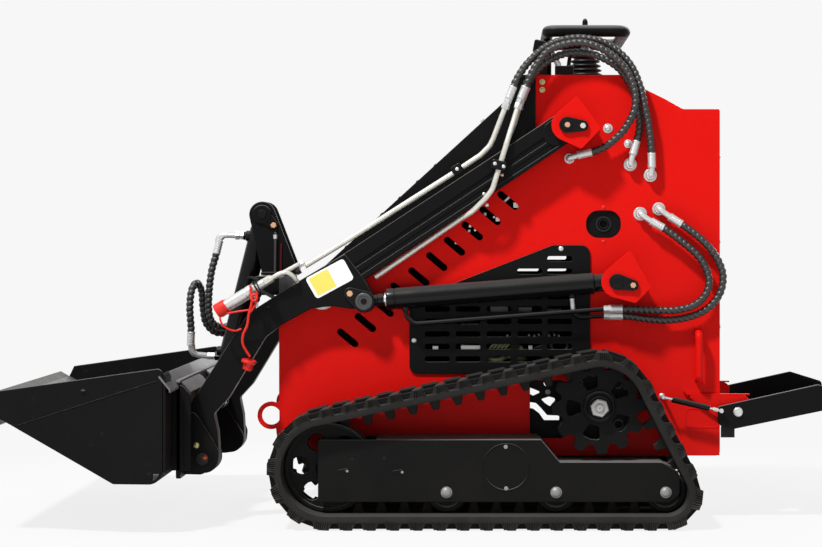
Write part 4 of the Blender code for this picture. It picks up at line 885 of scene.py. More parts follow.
def engine():
    """What shows of the engine through the grille and the vents."""
    part = Piece("engine_block", "machine", "engine", ["engine"])
    part.block(-0.3, 0.02, -0.13, 0.13, 0.26, 0.56, 0.008)
    for k in range(9):
        part.block(-0.25, 0.0, -0.12, 0.12, 0.568 + 0.013 * k, 0.574 + 0.013 * k, 0.002)
    part.block(-0.235, -0.015, -0.1, 0.1, 0.555, 0.69, 0.006)
    for sign in SIDES:
        part.disc(-0.205, 0.43, 0.075, sign * 0.13, sign * 0.142, 0.006, 40)
        part.lathe(mm("0 26, 4 30, 90 30, 96 26"), (-0.3, sign * 0.145, 0.64), REARWARD, paint="boot")
    part.single()
    # heat shield beside the engine, near-black as painted shade inside the body, and the hoses, lugs and fittings
    # in front of it
    shield = Piece("heat_shield", "machine", "shade_black")
    shield.plate(fillet(mm("-262 392 10, 195 392 10, 195 585 20, 140 640 20, -120 640 30, -262 560 30")), 0.148,
                 0.152)
    for k in range(5):
        shield.plate(slot_outline(-0.2 + 0.088 * k, 0.5 + 0.01 * (k % 2), 0.06, 0.11, 90), 0.1518, 0.158, 0.003, 2)
    for x0, x1, z0, z1 in mm("-181 -166 450 465, -105 -53 452 467, 76 87 454 466, -99 -57 550 556, "
                             "-105 -54 518 524, -2 22 416 420.5"):
        shield.block(x0, x1, 0.208, 0.2325, z0, z1, 0.002, "white")
        shield.block(x0 + 0.003, x1 - 0.003, 0.15, 0.21, z0 + 0.001, z1 - 0.001, 0.001)
    for x in (-0.02 + 0.0105 * k for k in range(5)):
        ring = [(x + 0.012 * math.cos(a), 0.218 + 0.01 * math.sin(a), 0.458 + 0.014 * math.sin(a + 0.9))
                for a in (math.tau * n / 20 for n in range(20))]
        shield.sweep(ring, 0.0034, 10, True, "green")
    for route, radius, sides, paint in (
            ("-34 160 425, -28 215 430, -6 222 426.5, 20 218 438, 60 212 430, 66 165 440", 0.0085, 14, "green"),
            ("46 170 462, 52 214 463, 60 216 455, 70 170 450", 0.006, 12, "green"),
            ("88 170 452, 96 214 458, 112 216 464, 122 170 466", 0.004, 12, "engine")):
        shield.sweep(smooth(mm(route)), radius, sides, paint=paint)
    shield.sweep(oval(0.16, 0.212, 0.466, 0.022, 0.02, 28), 0.004, 12, True, "engine")
    for x0, x1, z0, z1 in mm("-27 22 554.5 572, 48 86 556 570, 128 166 556.5 564"):
        shield.block(x0, x1, 0.19, 0.226, z0, z1, 0.003, "engine")
    for x, z in mm("78 494, 92 492.5, 104 495, 132 493, 146 494.5, 158 492.5, 20 492.5"):
        shield.lathe_y(mm("160 3, 226 3, 230 2"), x, z, 14, "dull")
    shield.mirrored()
    pump = Piece("hydraulic_pump", "machine", "black")
    pump.block(0.02, 0.22, -0.12, 0.12, BELLY_Z + 0.0065, 0.215, 0.006)
    pump.block(0.19, 0.23, -0.11, 0.11, 0.215, 0.42, 0.006, "engine")
    pump.single()
    # cross plate behind the left window, with its cut-outs
    web = Piece("window_web", "machine", "black")
    cuts = [fillet(mm(cut)[::-1]) for cut in (
        "81 351.4 1, 110.7 339.3 3, 89.1 329.8 2, 81 333.9 1",
        "110.7 320.4 2, 132.2 327.1 3, 147.1 323.1 3, 149.8 308.2 3, 133.6 301.5 3, 121.4 309.6 2",
        "81 312.3 1, 97.2 309.6 4, 110.7 296.1 4, 126.8 277.2 4, 160 275.9 1, 160 263.7 1, "
        "118.7 263.7 4, 105.3 282.6 4, 89.1 294.8 4, 81 296.1 1")]
    web.plate(rounded(0.07, 0.205, 0.172, 0.392, 0.003), -0.206, -0.2015, 0.0008,
              holes=[circle(0.1268, 0.3636, 0.009, 20), *cuts])
    web.bolt(0.129, 0.34, -0.206, 0.005, 0.004, "dull", -1, washer=True)
    web.single()


side_plates()
filler_recesses()
grilles()
body_shell()
vent_baffle()
bolts_on_body()
brackets()
tie_loops()
controls()
engine()


# ---------------------------------------------------------------- undercarriage
TRACK_IN, TRACK_OUT, MIDDLE = 0.25, 0.45, 0.35
BELT, LUG, LUG_SPACING = 0.02, 0.018, 0.06
BELT_STEPS = 14         # cross-sections of the belt to each lug
IDLER_X, IDLER_R, ROLLER_R, WHEEL_SEAT = -0.4475, 0.1165, 0.0557, 0.0008
IDLER_Z = BELT + LUG + IDLER_R + WHEEL_SEAT
ROLLER_Z = BELT + LUG + ROLLER_R + WHEEL_SEAT
ROLLER_XS = (-0.139, 0.146, 0.431)
SPROCKET_X, SPROCKET_Z, BED_R = 0.26, 0.312, 0.11


class Loop:
    """The belt's inner line, to place things at a distance along it and a height above it."""

    def __init__(self):
        ground = BELT + LUG
        line = around([(IDLER_X, ground + IDLER_R + WHEEL_SEAT, IDLER_R + WHEEL_SEAT),
                       (ROLLER_XS[-1], ground + ROLLER_R + WHEEL_SEAT, ROLLER_R + WHEEL_SEAT),
                       (SPROCKET_X, SPROCKET_Z, BED_R)], 1.0)
        self.points = [Vector(p) for p in line + line[:1]]
        self.lengths = distances(self.points)
        self.total = self.lengths[-1]

    def at(self, distance, height):
        """Point and outward direction; height is measured from the inner line outwards."""
        distance %= self.total
        low = min(bisect.bisect_right(self.lengths, distance) - 1, len(self.lengths) - 2)
        step = (self.points[low + 1] - self.points[low]).normalized()
        return self.points[low] + step * (distance - self.lengths[low]) + Vector((step.y, -step.x)) * height


def track_block(loop, start, shape, y_rows, piece, skew=0.0):
    """A moulded block: shape is (along, height) corners, drawn at each (y, inset) of y_rows."""
    middle = sum(along for along, _ in shape) / len(shape)
    rings = []
    for y, inset in y_rows:
        places = [loop.at(start + (middle + (along - middle) * (1 - inset) + skew * (y - MIDDLE)), height)
                  for along, height in shape]
        rings.append([(p.x, y, p.y) for p in places])
    piece.take(solid(rings))


def tracks():
    loop = Loop()
    count = round(loop.total / LUG_SPACING)
    pitch = loop.total / count
    part = Piece("rubber_track", "machine", "rubber", ["track"], angle=32)
    # webs and inner lugs in darker rubber, painted shade between the lugs
    between = Piece("track_inner_lugs", "machine", "shaded_rubber", angle=32)
    # belt: its cross-section carried round the loop, with a groove for the sprocket
    edge, groove = "3.5 0, 1 1.5, 0 5, 0 14, 2 18.5, 6 20", "28.5 0, 26.5 2.5, 26 16"
    section = [*mm(edge, TRACK_IN), *mm(edge, TRACK_OUT, -1)[::-1], *mm(groove, MIDDLE),
        *mm(groove, MIDDLE, -1)[::-1]]
    steps = count * BELT_STEPS
    rings = []
    for k in range(steps):
        places = [(loop.at(k * loop.total / steps, height), y) for y, height in section]
        rings.append([(p.x, y, p.y) for p, y in places])
    part.take(solid(rings, closed=True))
    # the raised web between the lugs of the outer row, in darker rubber as painted shade of the pockets
    for k in range(count):
        web = mm("-26 18.5, -22 33.5, -20 34.5, 20 34.5, 22 33.5, 26 18.5")
        track_block(loop, k * pitch, web, [(TRACK_OUT - 0.033, 0.0), (TRACK_OUT - 0.031, 0.0),
                                           (TRACK_OUT - 0.015, 0.0), (TRACK_OUT - 0.0125, 0.03)], between)
    for k in range(count):
        start = k * pitch
        # outer row: a waisted block with a flank fluted down to the belt's edge
        lug = mm("3 18.5, 10.5 22.5, 15.5 30, 17.5 36.6, 19 38, 41 38, 42.5 36.6, 44.5 30, 49.5 22.5, 57 18.5")
        track_block(loop, start, lug, [(MIDDLE + 0.004, 0.16), (MIDDLE + 0.008, 0.06), (TRACK_OUT - 0.0085, 0.0),
                                       (TRACK_OUT - 0.004, 0.04)], part, 0.06)
        for j in range(7):
            foot, head = 0.006 + 0.0068 * j, 0.019 + 0.0032 * j
            rib = [(foot - 0.0013, 0.003), (foot + 0.0013, 0.003), (head + 0.0009, 0.036), (head - 0.0009, 0.036)]
            track_block(loop, start, rib, [(TRACK_OUT - 0.01, 0.0), (TRACK_OUT - 0.0012, 0.0),
                                           (TRACK_OUT - 0.0001, 0.4)], part)
        # inner row, half a pitch on, wider and plainer, in darker rubber as painted shade
        lug = mm("5 18.5, 6.6 36.6, 8 38, 52 38, 53.4 36.6, 55 18.5", pitch / 2)
        track_block(loop, start, lug, [(TRACK_IN + 0.003, 0.12), (TRACK_IN + 0.0085, 0.0), (MIDDLE - 0.007, 0.0),
                                       (MIDDLE - 0.004, 0.06)], between, -0.06)
        # guide horn in the middle, inside the loop
        horn = mm("11 16.5, 11 0, 18 -26, 20 -29, 34 -29, 36 -26, 43 0, 43 16.5")
        track_block(loop, start + pitch / 2, horn, [(MIDDLE - 0.011, 0.25), (MIDDLE - 0.008, 0.0),
                                                    (MIDDLE + 0.008, 0.0), (MIDDLE + 0.011, 0.25)], part)
    between.mirrored()
    part.mirrored()


def track_frames():
    part = Piece("roller_frame", "machine", "black", ["track_frame"])
    outline = fillet(mm("-473 69 4, 440 69 20, 467 90 20, 467 145 30, 421 172 20, 155 172 4, 106 231 4, "
        "-473 231 6"))
    part.plate(outline, 0.4, 0.41, 0.0014)
    for x, z in ((-0.384, 0.181), (-0.301, 0.184)):
        part.disc(x, z, 0.0045, 0.4094, 0.4106, 0.0004, 16, "gloss_black")
    part.plate(outline, 0.29, 0.3, 0.0014)
    back = IDLER_X + IDLER_R + 0.008
    part.plate([(back, 0.2225), *mm("101.5 222.5, 150.5 163.5, 415 163.5, 440 155, 446 161, 421 171.5, "
        "154.5 171.5, "
                                    "105.5 230.5"), (back, 0.2305)], 0.299, 0.401, 0.001)
    # painted highlight along the top flange's edge, in dull zinc grey, and the guide strip between the rollers
    part.plate([(back, 0.2295), *mm("105.8 229.5, 154.8 170.6, 421 170.6, 421 172.2, 155.6 172.2, 106.6 231.1"),
                (back, 0.2311)], 0.386, 0.4006, 0.0003, paint="dull")
    part.block(-0.4, 0.44, 0.2885, 0.298, 0.043, 0.1, 0.002)
    # deck between the body and the frame, and its web
    part.block(back, 0.101, BODY_HALF + GAP, 0.291, 0.2235, 0.2312)
    part.block(back + 0.06, 0.06, BODY_HALF + GAP, BODY_HALF + 0.01, 0.19, 0.23)
    # round cover, its two screws and the cast tags of the plate
    part.lathe_y(mm("409.5 62, 411.2 61.5, 411.4 59, 410.4 58"), 0.016, 0.16, 72)
    for x, z in ((0.015, 0.213), (0.016, 0.105)):
        part.disc(x, z, 0.0055, 0.41, 0.4124, 0.001, 24, "dull")
    for x, z in ((-0.408, 0.15), (-0.265, 0.147)):
        part.plate(slot_outline(x, z, 0.03, 0.011, 8), 0.4096, 0.4112, 0.0007)
        part.disc(x + 0.011, z, 0.0036, 0.411, 0.4126, 0.0008, 20, "dull")
    part.mirrored()
    wheels = Piece("track_rollers", "machine", "black")
    for x in ROLLER_XS:
        for near, far in ((0.366, 0.392), (0.308, 0.334)):
            tread = [(near, 0.006), (near + 0.004, 0), (far - 0.004, 0), (far, 0.004), (far, 0.014),
                     (far - 0.006, 0.018)]
            outer = [(y, ROLLER_R - depth) for y, depth in tread] + [(far - 0.006, 0.018), (far, 0.016)]
            if near < MIDDLE:
                outer = [(near + far - y, radius) for y, radius in reversed(outer)]
            wheels.lathe_y(outer, x, ROLLER_Z, 48)
        wheels.disc(x, ROLLER_Z, 0.019, 0.33, 0.37, 0.001)
        wheels.disc(x, ROLLER_Z, 0.0125, 0.288, 0.412, 0.001, 24)
        wheels.lathe_y(mm("409.8 14.8, 411.2 14.8, 411.8 14"), x, ROLLER_Z, paint="dull")
        wheels.bolt(x, ROLLER_Z, 0.4116, 0.0128, 0.0062, "dull", dome=True)
    wheels.mirrored()


def idlers():
    part = Piece("idler_wheel", "machine", "black", ["idler"])
    for y, hole in ((0.377, 0.024), (0.316, 0.030)):
        holes = [circle(*centre, hole) for centre in arc(IDLER_X, IDLER_Z, 0.0735, 115, 415, 5)]
        part.plate(circle(IDLER_X, IDLER_Z, IDLER_R - 0.01, 96), y, y + 0.007, holes=holes)
    rim = mm("365.5 18, 365.5 2, 367.5 0, 385.5 0, 388 2.5, 388 9, 386.5 12, 379 14, 377 18")
    for flip in (1, -1):
        rings = [oval(IDLER_X, MIDDLE + flip * (y - MIDDLE), IDLER_Z, IDLER_R - depth, IDLER_R - depth, 96)
                 for y, depth in rim]
        part.take(solid(rings, closed=True))
    part.lathe_y(mm("300.3 30, 315 34, 330 30, 370 30, 385 34, 392 30, 399.7 26"), IDLER_X, IDLER_Z, 48)
    part.mirrored()


def sprockets():
    part = Piece("drive_sprocket", "machine", "black", ["sprocket"])
    hub = (SPROCKET_X, SPROCKET_Z)
    # one tooth, as shares of the pitch from its middle and radii
    tip, root = 0.1235, 0.101
    flank = [(0.4, root), (0.33, root + 0.004), (0.27, root + 0.011), (0.235, tip - 0.006), (0.2, tip - 0.0015),
             (0.15, tip)]
    tooth = [(-0.5, root - 0.001), *((-share, radius) for share, radius in flank), (0.0, tip + 0.0012),
        *flank[::-1]]
    outline = []
    for k in range(12):
        for share, radius in tooth:
            a = math.radians(-87 + (k + share) * 30)
            outline.append((SPROCKET_X + radius * math.cos(a), SPROCKET_Z + radius * math.sin(a)))
    petals = []
    for a in range(38, 398, 72):
        c, s = math.cos(math.radians(a)), math.sin(math.radians(a))
        shape = around(mm("55.5 -8.5 6.5, 76.5 -15 7.5, 80 0 6.5, 76.5 15 7.5, 55.5 8.5 6.5"), 12)
        petals.append([(SPROCKET_X + x * c - z * s, SPROCKET_Z + x * s + z * c) for x, z in shape])
    part.plate(outline, 0.3605, 0.37, 0.0014, holes=petals)
    part.plate(outline, 0.33, 0.3395, 0.0014, holes=petals)
    part.lathe_y(mm("315 40, 318 42.5, 379 42.5, 381.2 40, 381.2 34, 378.5 32"), *hub, 64)
    part.lathe_y(mm("378.5 30, 385 30, 386.2 28.5"), *hub, 48)
    part.lathe_y(mm("386.2 22.5, 387.5 22.5"), *hub, 48, "dull")
    part.lathe_y(mm("387.2 24.5, 394.5 24.8, 396.2 22.6"), *hub, 6, "nut", 0.25)
    part.lathe_y(mm("395.5 12.5, 397.5 12.5"), *hub, paint="dull")
    part.lathe_y(mm("397 9.8, 400 9.2, 400.6 8.2, 400.6 2, 399 1.5"), *hub, paint="nut")
    part.mirrored()
    motor = Piece("wheel_motor", "machine", "black", ["drive_motor"])
    motor.lathe_y([(BODY_HALF + GAP, 0.075), *mm("244 75, 246 73.5, 246 56, 260 52, 303 52, 304 87, 313 88, "
                                                    "314.6 86.5")], *hub, 64)
    for x, z in arc(*hub, 0.066, 12, 312, 5):
        motor.bolt(x, z, 0.246, 0.0085, 0.007, "black", washer=True)
    for x, z in mm("206.2 371.7, 310.9 370.1, 312.8 262.5, 208 261"):
        motor.lathe_y(mm("314 12.2, 316.2 12.2, 316.8 11.6, 316.8 10.4, 315 10"), x, z)
        motor.sweep(oval(x, 0.317, z, 0.0118, 0.0118, 28), 0.0009, 8, True, "nut")
        motor.disc(x, z, 0.0078, 0.3146, 0.3185, 0.001, 6)
    motor.mirrored()


tracks()
track_frames()
idlers()
sprockets()


# ---------------------------------------------------------------- boom
CROSSBEAM = (-0.662, 0.602, -0.592, 0.652)
# shape of a union's round head: (out from the wall, share of its radius)
KNOB = ((0.0002, 1.0), (0.004, 1.0), (0.0052, 0.93), (0.0052, 0.74), (0.0075, 0.72), (0.019, 0.7), (0.0225, 0.62),
        (0.024, 0.4), (0.0244, 0.0))


def arms():
    part = Piece("lift_arm", "boom", "black", ["arm"])
    top = (-0.44, 0.644)
    length = math.dist(top, BOOM_PIVOT)
    hole = circle(*BOOM_PIVOT, PIN_BORE, 40)
    part.plate(around([(*top, 0.044), (*BOOM_PIVOT, 0.04)]), ARM_IN + 0.003, ARM_OUT - 0.0075, 0.002, 2,
               holes=[hole])
    # raised bands along both faces of the beam
    for low, high, end, proud in mm("5.5 43.5 46 3, -42.5 -28 30 3, -18.5 -3.5 30 5"):
        shape = placed([(0.035, low), (length - end, low + 0.002), (length - end, high - 0.004), (0.035, high)],
                       top, BOOM_PIVOT)
        part.plate(shape, ARM_OUT - 0.0085, ARM_OUT - proud, 0.0016, 2)
        part.plate(shape, ARM_IN + 0.002, ARM_IN + 0.004, 0.0006)
    part.plate(around([(BOOM_PIVOT[0] - 0.03, BOOM_PIVOT[1] - 0.02, 0.034), (*BOOM_PIVOT, 0.036)]),
               ARM_OUT - 0.0085, ARM_OUT - 0.002, 0.0016, 2, holes=[hole])
    part.mirrored()

    leg = Piece("lift_arm_leg", "boom", "black")
    foot = [(*p, 0.0) for p in arc(*BUCKET_PIVOT, 0.04, 180, 360, 24)]
    eye = [(*p, 0.0) for p in arc(*LIFT_EYE, 0.03, 220, 380, 20)]
    outline = fillet([
        *mm("-413 713 4, -526 646 10, -668 556 20, -826 308 20"), *foot,
        *mm("-750 240 0, -760 288 12, -722 329 20, -624 491 20, -583 523 20, -502 568 20, -445 574 10, -390 566 5"),
        *eye, (-0.367, 0.655, 0.006)])
    leg.plate(outline, ARM_IN, ARM_OUT, 0.0028, 2, holes=[circle(*BUCKET_PIVOT, PIN_BORE, 40)])
    x, z = LIFT_EYE
    leg.carve(around([(x - 0.004, z + 0.004, 0.036), (x + 0.12, z - 0.06, 0.036), (x + 0.12, z + 0.03, 0.036)]),
              0.2515, 0.2885)
    leg.mirrored()

    trim = Piece("lift_arm_trim", "boom", "gloss_black")
    bolt = (-0.398, 0.6075)
    trim.plate(around([(*LIFT_EYE, 0.0285), (*bolt, 0.0165)]), ARM_OUT, ARM_OUT + 0.0085, 0.002, 2)
    trim.lathe_y(mm("7 22.5, 12 22.5, 13.5 20.5, 13.5 15, 11.5 14", ARM_OUT), *LIFT_EYE, 48, "steel")
    trim.disc(*LIFT_EYE, 0.0085, ARM_OUT + 0.011, ARM_OUT + 0.0125, 0.0008, 28)
    trim.bolt(*bolt, ARM_OUT + 0.0085, 0.0088, 0.0055, "copper")
    trim.lathe_y(mm("257.5 30, 260 33, 280 33, 282.5 30"), -0.473, 0.597, 48, "zinc")
    trim.bolt(-0.6156, 0.5693, ARM_OUT, 0.005, 0.0034, "black", dome=True)
    trim.mirrored()

    beam = Piece("boom_crossbeam_tube", "boom", "black", ["boom_crossbeam"])
    beam.plate(rounded(*CROSSBEAM, 0.007, 15), -(ARM_IN - GAP), ARM_IN - GAP, 0.0004)
    beam.single()


def decals():
    """Blank colour plates on the elbows of both arms."""
    part = Piece("colour_plate", "boom", "white")
    corners = mm("-517.6 647, -416.2 701.2, -386.7 646.8, -486.2 592.8")
    part.plate(fillet([(*c, 0.009) for c in corners][::-1], 15), ARM_OUT + 0.0001, ARM_OUT + 0.001, 0.0003)
    a, b, c, d = (Vector(p) for p in corners)
    inner = [a.lerp(b, 0.07) + (d - a) * 0.08, a.lerp(b, 0.56) + (d - a) * 0.07,
             d.lerp(c, 0.56) + (a - d) * 0.09, d.lerp(c, 0.07) + (a - d) * 0.09]
    part.plate(fillet([(*p, 0.003) for p in inner][::-1], 20), ARM_OUT + 0.0009, ARM_OUT + 0.0013, 0.0001,
               paint="yellow")
    part.mirrored()


def tower():
    part = Piece("tilt_tower_plates", "boom", "black", ["tilt_tower"])
    x0, _, x1, top = CROSSBEAM
    foot_z = top + GAP
    outline = around([(x0 + 0.012, foot_z + 0.012, 0.012), (x1 + 0.018, foot_z + 0.012, 0.012),
                      (*TOWER_PIN, 0.036)])
    for y0, y1 in ((-0.05, -0.038), (0.038, 0.05)):
        part.plate(outline, y0, y1, 0.0022, 2)
    part.plate([(x1 - 0.012, foot_z + 0.002), (x1 + 0.004, foot_z + 0.002), (-0.6355, 0.77), (-0.645, 0.77)],
               -0.04, 0.04, 0.0015)
    part.block(x0, x1, -0.065, 0.065, foot_z, foot_z + 0.008, 0.002)
    part.disc(*TOWER_PIN, PIN_R, -0.052, 0.052, sides=36, paint="gloss_black")
    keeper = (-0.6274, 0.7902)
    for sign in SIDES:
        face = sign * 0.05
        part.lathe_y(mm("0 26.5, 4.5 26.5, 6 25", face, sign), *TOWER_PIN, 48)
        part.lathe_y(mm("5.5 12.5, 7.8 11.5", face, sign), *TOWER_PIN, 40, "gloss_black")
        part.plate(around([(*TOWER_PIN, 0.02), (*keeper, 0.0125)]), face, face + sign * 0.005, 0.0015, 2)
        part.bolt(*keeper, face + sign * 0.005, 0.0085, 0.0055, "copper", sign)
    part.single()
    # steel line down the tower's near plate
    line = Piece("tower_grease_line", "boom", "silver")
    line.sweep(bent(mm("-622.5 -53.5 771, -622.5 -56 760, -623.2 -56 665, -623.8 -56 600"), 0.008), 0.0042, 12,
               paint="hose", swell=lambda along, angle: 1 + 0.1 * math.sin(along / 0.0022 + 2 * angle))
    line.sweep(bent(mm("-606.2 -52 740, -607 -53 700, -607.8 -53 612"), 0.02), 0.0024, 10, paint="dark_red")
    for nut in ((-0.6225, -0.056, 0.764), (-0.6232, -0.056, 0.612)):
        line.lathe(mm("0 6.2, 10 6.2, 12 5"), nut, (0, 0, -1), 6)
    line.single()


PIPES = {
    "boom_pipe_upper": mm("18.7 -270 1115, -18 -270 1020, -28 -270 1000, -52 -270 976, -115 -270 934, "
        "-413 -270 745, -520 -270 680"),
    "boom_pipe_lower": mm("50.7 -272 1115, 35 -280 1063, 27 -298 1037, 18 -304 1007, 5 -304 965, -20 -304 884, "
        "-40 -303 858, -75 -290 824, -110 -272 803, -333 -270 651"),
    "boom_pipe_inner": mm("54 -249.5 1115, 39 -249.5 1063, 15.5 -252.5 1004.5"),
}


def boom_pipes():
    for node, route in PIPES.items():
        part = Piece(node + "_tube", "boom", "zinc", [node], angle=50)
        part.sweep(bent(route, 0.04, 6), PIPE_R, 18)
        base, toward = Vector(route[0]), (Vector(route[1]) - Vector(route[0])).normalized()
        part.lathe(mm("0 10, 2 11.2, 13 11.2, 15 9.8"), base + toward * 0.002, toward, 6, "silver", 0.4)
        part.single()
    # clamps that hold the pipes to the arm
    clamp = Piece("pipe_clamps", "boom", "gloss_black")
    slope = math.degrees(math.atan2(BOOM_PIVOT[1] - 0.644, BOOM_PIVOT[0] + 0.44))
    for x, z, half, tilt, low, high in ((-0.1142, 0.9383, 0.015, slope, -0.288, -0.262),
                                        (-0.003, 0.948, 0.02, -14.0, -0.3165, -0.294)):
        outline = rounded(x - half, z - 0.0125, x + half, z + 0.0125, 0.006, 18)
        clamp.plate(turned(outline, (x, z), tilt), low, high, 0.0022, 2)
    for x, z, y in ((-0.0133, 0.9516, -0.3165), (0.0095, 0.944, -0.3165), (-0.1142, 0.9383, -0.288)):
        clamp.bolt(x, z, y, 0.0052, 0.0034, side=-1, dome=True)
    for x, z, paint in ((-0.0425, 0.8719, "silver"), (-0.0345, 0.8427, "silver"), (0.0053, 0.9224, "copper")):
        clamp.bolt(x, z, -ARM_OUT + 0.003, 0.005, 0.0032, paint, -1, True)
    clamp.single()


def coupler():
    """Two quick couplers on their bracket, with dust caps and moulded tethers."""
    part = Piece("quick_couplers", "boom", "silver", ["quick_coupler"])
    front, rear = Vector((-0.7422, 0, 0.5648)), Vector((-0.6291, 0, 0.6343))
    along, length = (front - rear).normalized(), (rear - front).length
    up = Vector((-along.z, 0, along.x))
    for y in (-0.316, -0.272):
        at = rear + Vector((0, y, 0))
        # nut, flange ring, sleeve and cap, from the pipe to the mouth
        part.lathe(mm("-26 9.2, -24 10.4, -8 10.4, -6 9.2"), at, along, 6, "zinc", 0.4)
        part.lathe(mm("-6 11.2, 6 11.2, 8 12.6, 10 12.6"), at, along)
        body = mm("10 14, 12 15, 26 15, 28 14, 30 14, 32 15.5, 44 15.8, 46 14.8, 50 14.8")
        for k in range(6):
            body += [(0.052 + 0.0056 * k, 0.016), (0.0548 + 0.0056 * k, 0.0153)]
        part.lathe(body + mm("88 15.8, 92 15.8, 94 15") + [(length - 0.012, 0.015)], at, along, 40)
        part.lathe(mm("-22 18.2, -20 19.2, 6 19.6, 9 18.6, 10 12", length), at, along, 36, "red_plastic")
        ring = [at + along * 0.018 + Vector((0, 0.0172 * math.cos(a), 0)) + up * (0.0172 * math.sin(a))
                for a in (math.tau * k / 36 for k in range(36))]
        part.sweep(ring, 0.0022, 10, True, "gloss_black")
    # folded bracket that holds them to the arm
    fold = mm("-666 650, -655 648.4, -643.8 643, -640 630, -636 620, -629 612, -600 595")
    ribbon = fold + [(x + 0.002, z + 0.003) for x, z in reversed(fold)]
    part.plate(ribbon, -0.338, -0.252, 0.0006, paint="gloss_black")
    part.lathe(mm("0 4.8, 10 4.8, 12 3.6"), (-0.642, -0.33, 0.586), (0, -0.2, -1), 20)
    part.single()
    # pipes from the couplers: one straight on, one arched over it
    pipes = Piece("coupler_pipe", "boom", "zinc")
    pipes.sweep(bent(mm("-610 -316 646, -572 -310 664, -537.3 -290 683.7, -524 -276 689"), 0.02), 0.0062, 16)
    pipes.sweep(smooth(mm("-607.7 -318 644.1, -591.8 -322 656, -576.8 -323 662.6, -562.8 -322 663.7, "
                          "-550.9 -318 657.3, -542 -312 648, -536.4 -302 640")), 0.0058, 16)
    pipes.lathe(mm("0 8.8, 16 8.8, 17 7.4"), (-0.522, -0.283, 0.69), (-0.86, 0, -0.5), 6, "silver")
    pipes.lathe(mm("0 9.8, 12 9.8, 13 8"), (-0.53, -0.29, 0.67), (-0.86, 0, -0.5), 6, "gloss_black")
    pipes.single()
    caps = Piece("dust_caps", "boom", "red_plastic")
    for radius, route in (
            (0.0026, "-718 -336 556, -693.1 -339 561.1, -662.6 -338 565.6"),
            (0.0026, "-738.4 -334 544.5, -731.8 -338 528.7, -718.6 -339 516.9, -697.6 -338 510.8, "
                     "-681.8 -334 515.6"),
            (0.0036, "-658.1 -334 629.3, -656 -338 613.7, -652 -340 599.8, -654 -340 581.4, -660.7 -339 556.9, "
                     "-665.2 -338 526.1, -676.5 -336 499.8, -677 -333 473.4, -660 -326 442"),
            (0.0028, "-642.3 -334 615.6, -639 -338 599.8, -644.9 -340 578.7, -658.1 -339 557.7")):
        caps.sweep(smooth(mm(route)), radius, 10)
    knot = [(-0.647 + 0.0075 * math.cos(a), -0.342 + 0.003 * math.sin(a), 0.5985 + 0.0085 * math.sin(a))
            for a in (math.tau * k / 20 for k in range(20))]
    caps.sweep(knot, 0.0036, 10, True)
    caps.lathe(mm("0 10, 2 12.5, 18 14, 21 20, 26 20, 28 18"), (-0.668, -0.318, 0.406), (0.2, -0.1, 0.97), 36)
    caps.single()


def hose_fittings():
    """Banjo unions where the hoses meet the body and the tilt cylinder."""
    lower = Piece("lower_hose_unions", "machine", "silver")
    upper = Piece("upper_hose_unions", "machine", "silver")
    for part, side, x, z, radius in ((lower, 1, 0.376, 0.82, 0.0182), (lower, 1, 0.426, 0.833, 0.0176),
                                     (upper, -1, 0.186, 0.968, 0.014), (upper, -1, 0.403, 0.923, 0.0176),
                                     (upper, -1, 0.349, 0.952, 0.0176)):
        part.lathe_y([(side * (BODY_HALF + out), radius * share) for out, share in KNOB], x, z)
    lower.mirrored()
    upper.single()
    ports = Piece("tilt_ports", "tilt_barrel", "silver")
    ports.lathe(mm("0 13, 14 13, 15 11.5"), (-0.702, 0, 0.76), (-1, 0, 0.05), 6, "gloss_black")
    ports.lathe(mm("0 12, 8 12, 9 9, 11 9, 12 13.5, 22 13.5, 24 10"), (-0.717, 0, 0.761), (-1, 0, 0.05), 6)
    ports.sweep(bent(mm("-736 0 762.2, -788 0 764, -790.5 0 728"), 0.016, 8), 0.008, 18)
    ports.lathe(mm("0 13, 14 13, 15 11.5"), (-0.783, 0, 0.424), (-1, 0, 0.02), 6, "gloss_black")
    ports.lathe(mm("0 11, 20 11, 22 9"), (-0.798, 0, 0.4245), (-1, -0.1, 0.02), 6)
    ports.sweep(bent(mm("-812 -1 425, -856 -14 430, -861.6 -20.5 480"), 0.016, 8), 0.008, 18)
    ports.single()
    beam = Piece("crossbeam_unions", "boom", "silver")
    for y, z in ((0.084, 0.627), (0.118, 0.621)):
        beam.lathe(mm("0 13, 12 13, 14 11"), (-0.6622, y, z), (-1, 0, 0), 6)
    beam.single()


arms()
decals()
tower()
boom_pipes()
coupler()
hose_fittings()


# ---------------------------------------------------------------- cylinders
def barrel(part, base, eye, gland, radius, rod_r, y, half, shoulder):
    """A cylinder barrel seen from outside, with a dark mouth round its rod."""
    start = Vector((base[0], y, base[1]))
    along = (Vector((eye[0], y, eye[1])) - start).normalized()
    steps = mm("-6 4.8, -3 1.2, 0 0", shoulder) + mm("-26 0, -25 1.5, -22 1.5, -21 0, -4 0, -1 2, 0 5", gland)
    part.lathe([(0.018, radius - 0.006), *((at, radius - depth) for at, depth in steps), (gland, rod_r + 0.0015),
                (gland - 0.012, rod_r + 0.0012)], start, along, 56)
    seal = [(at, rod_r + out) for at, out in mm("-0.5 5, 3.5 4.6, 3.5 1.4, -0.5 1.2, -0.5 5", gland)]
    part.lathe(seal, start, along, 48, "silver", hollow=True)
    edge = mm("0 17.6, 0 27, 2 29")
    part.lathe_y([(y - half + out, r) for out, r in edge] + [(y + half - out, r) for out, r in edge[::-1]], *base,
        48,
                 hollow=True)
    return start, along


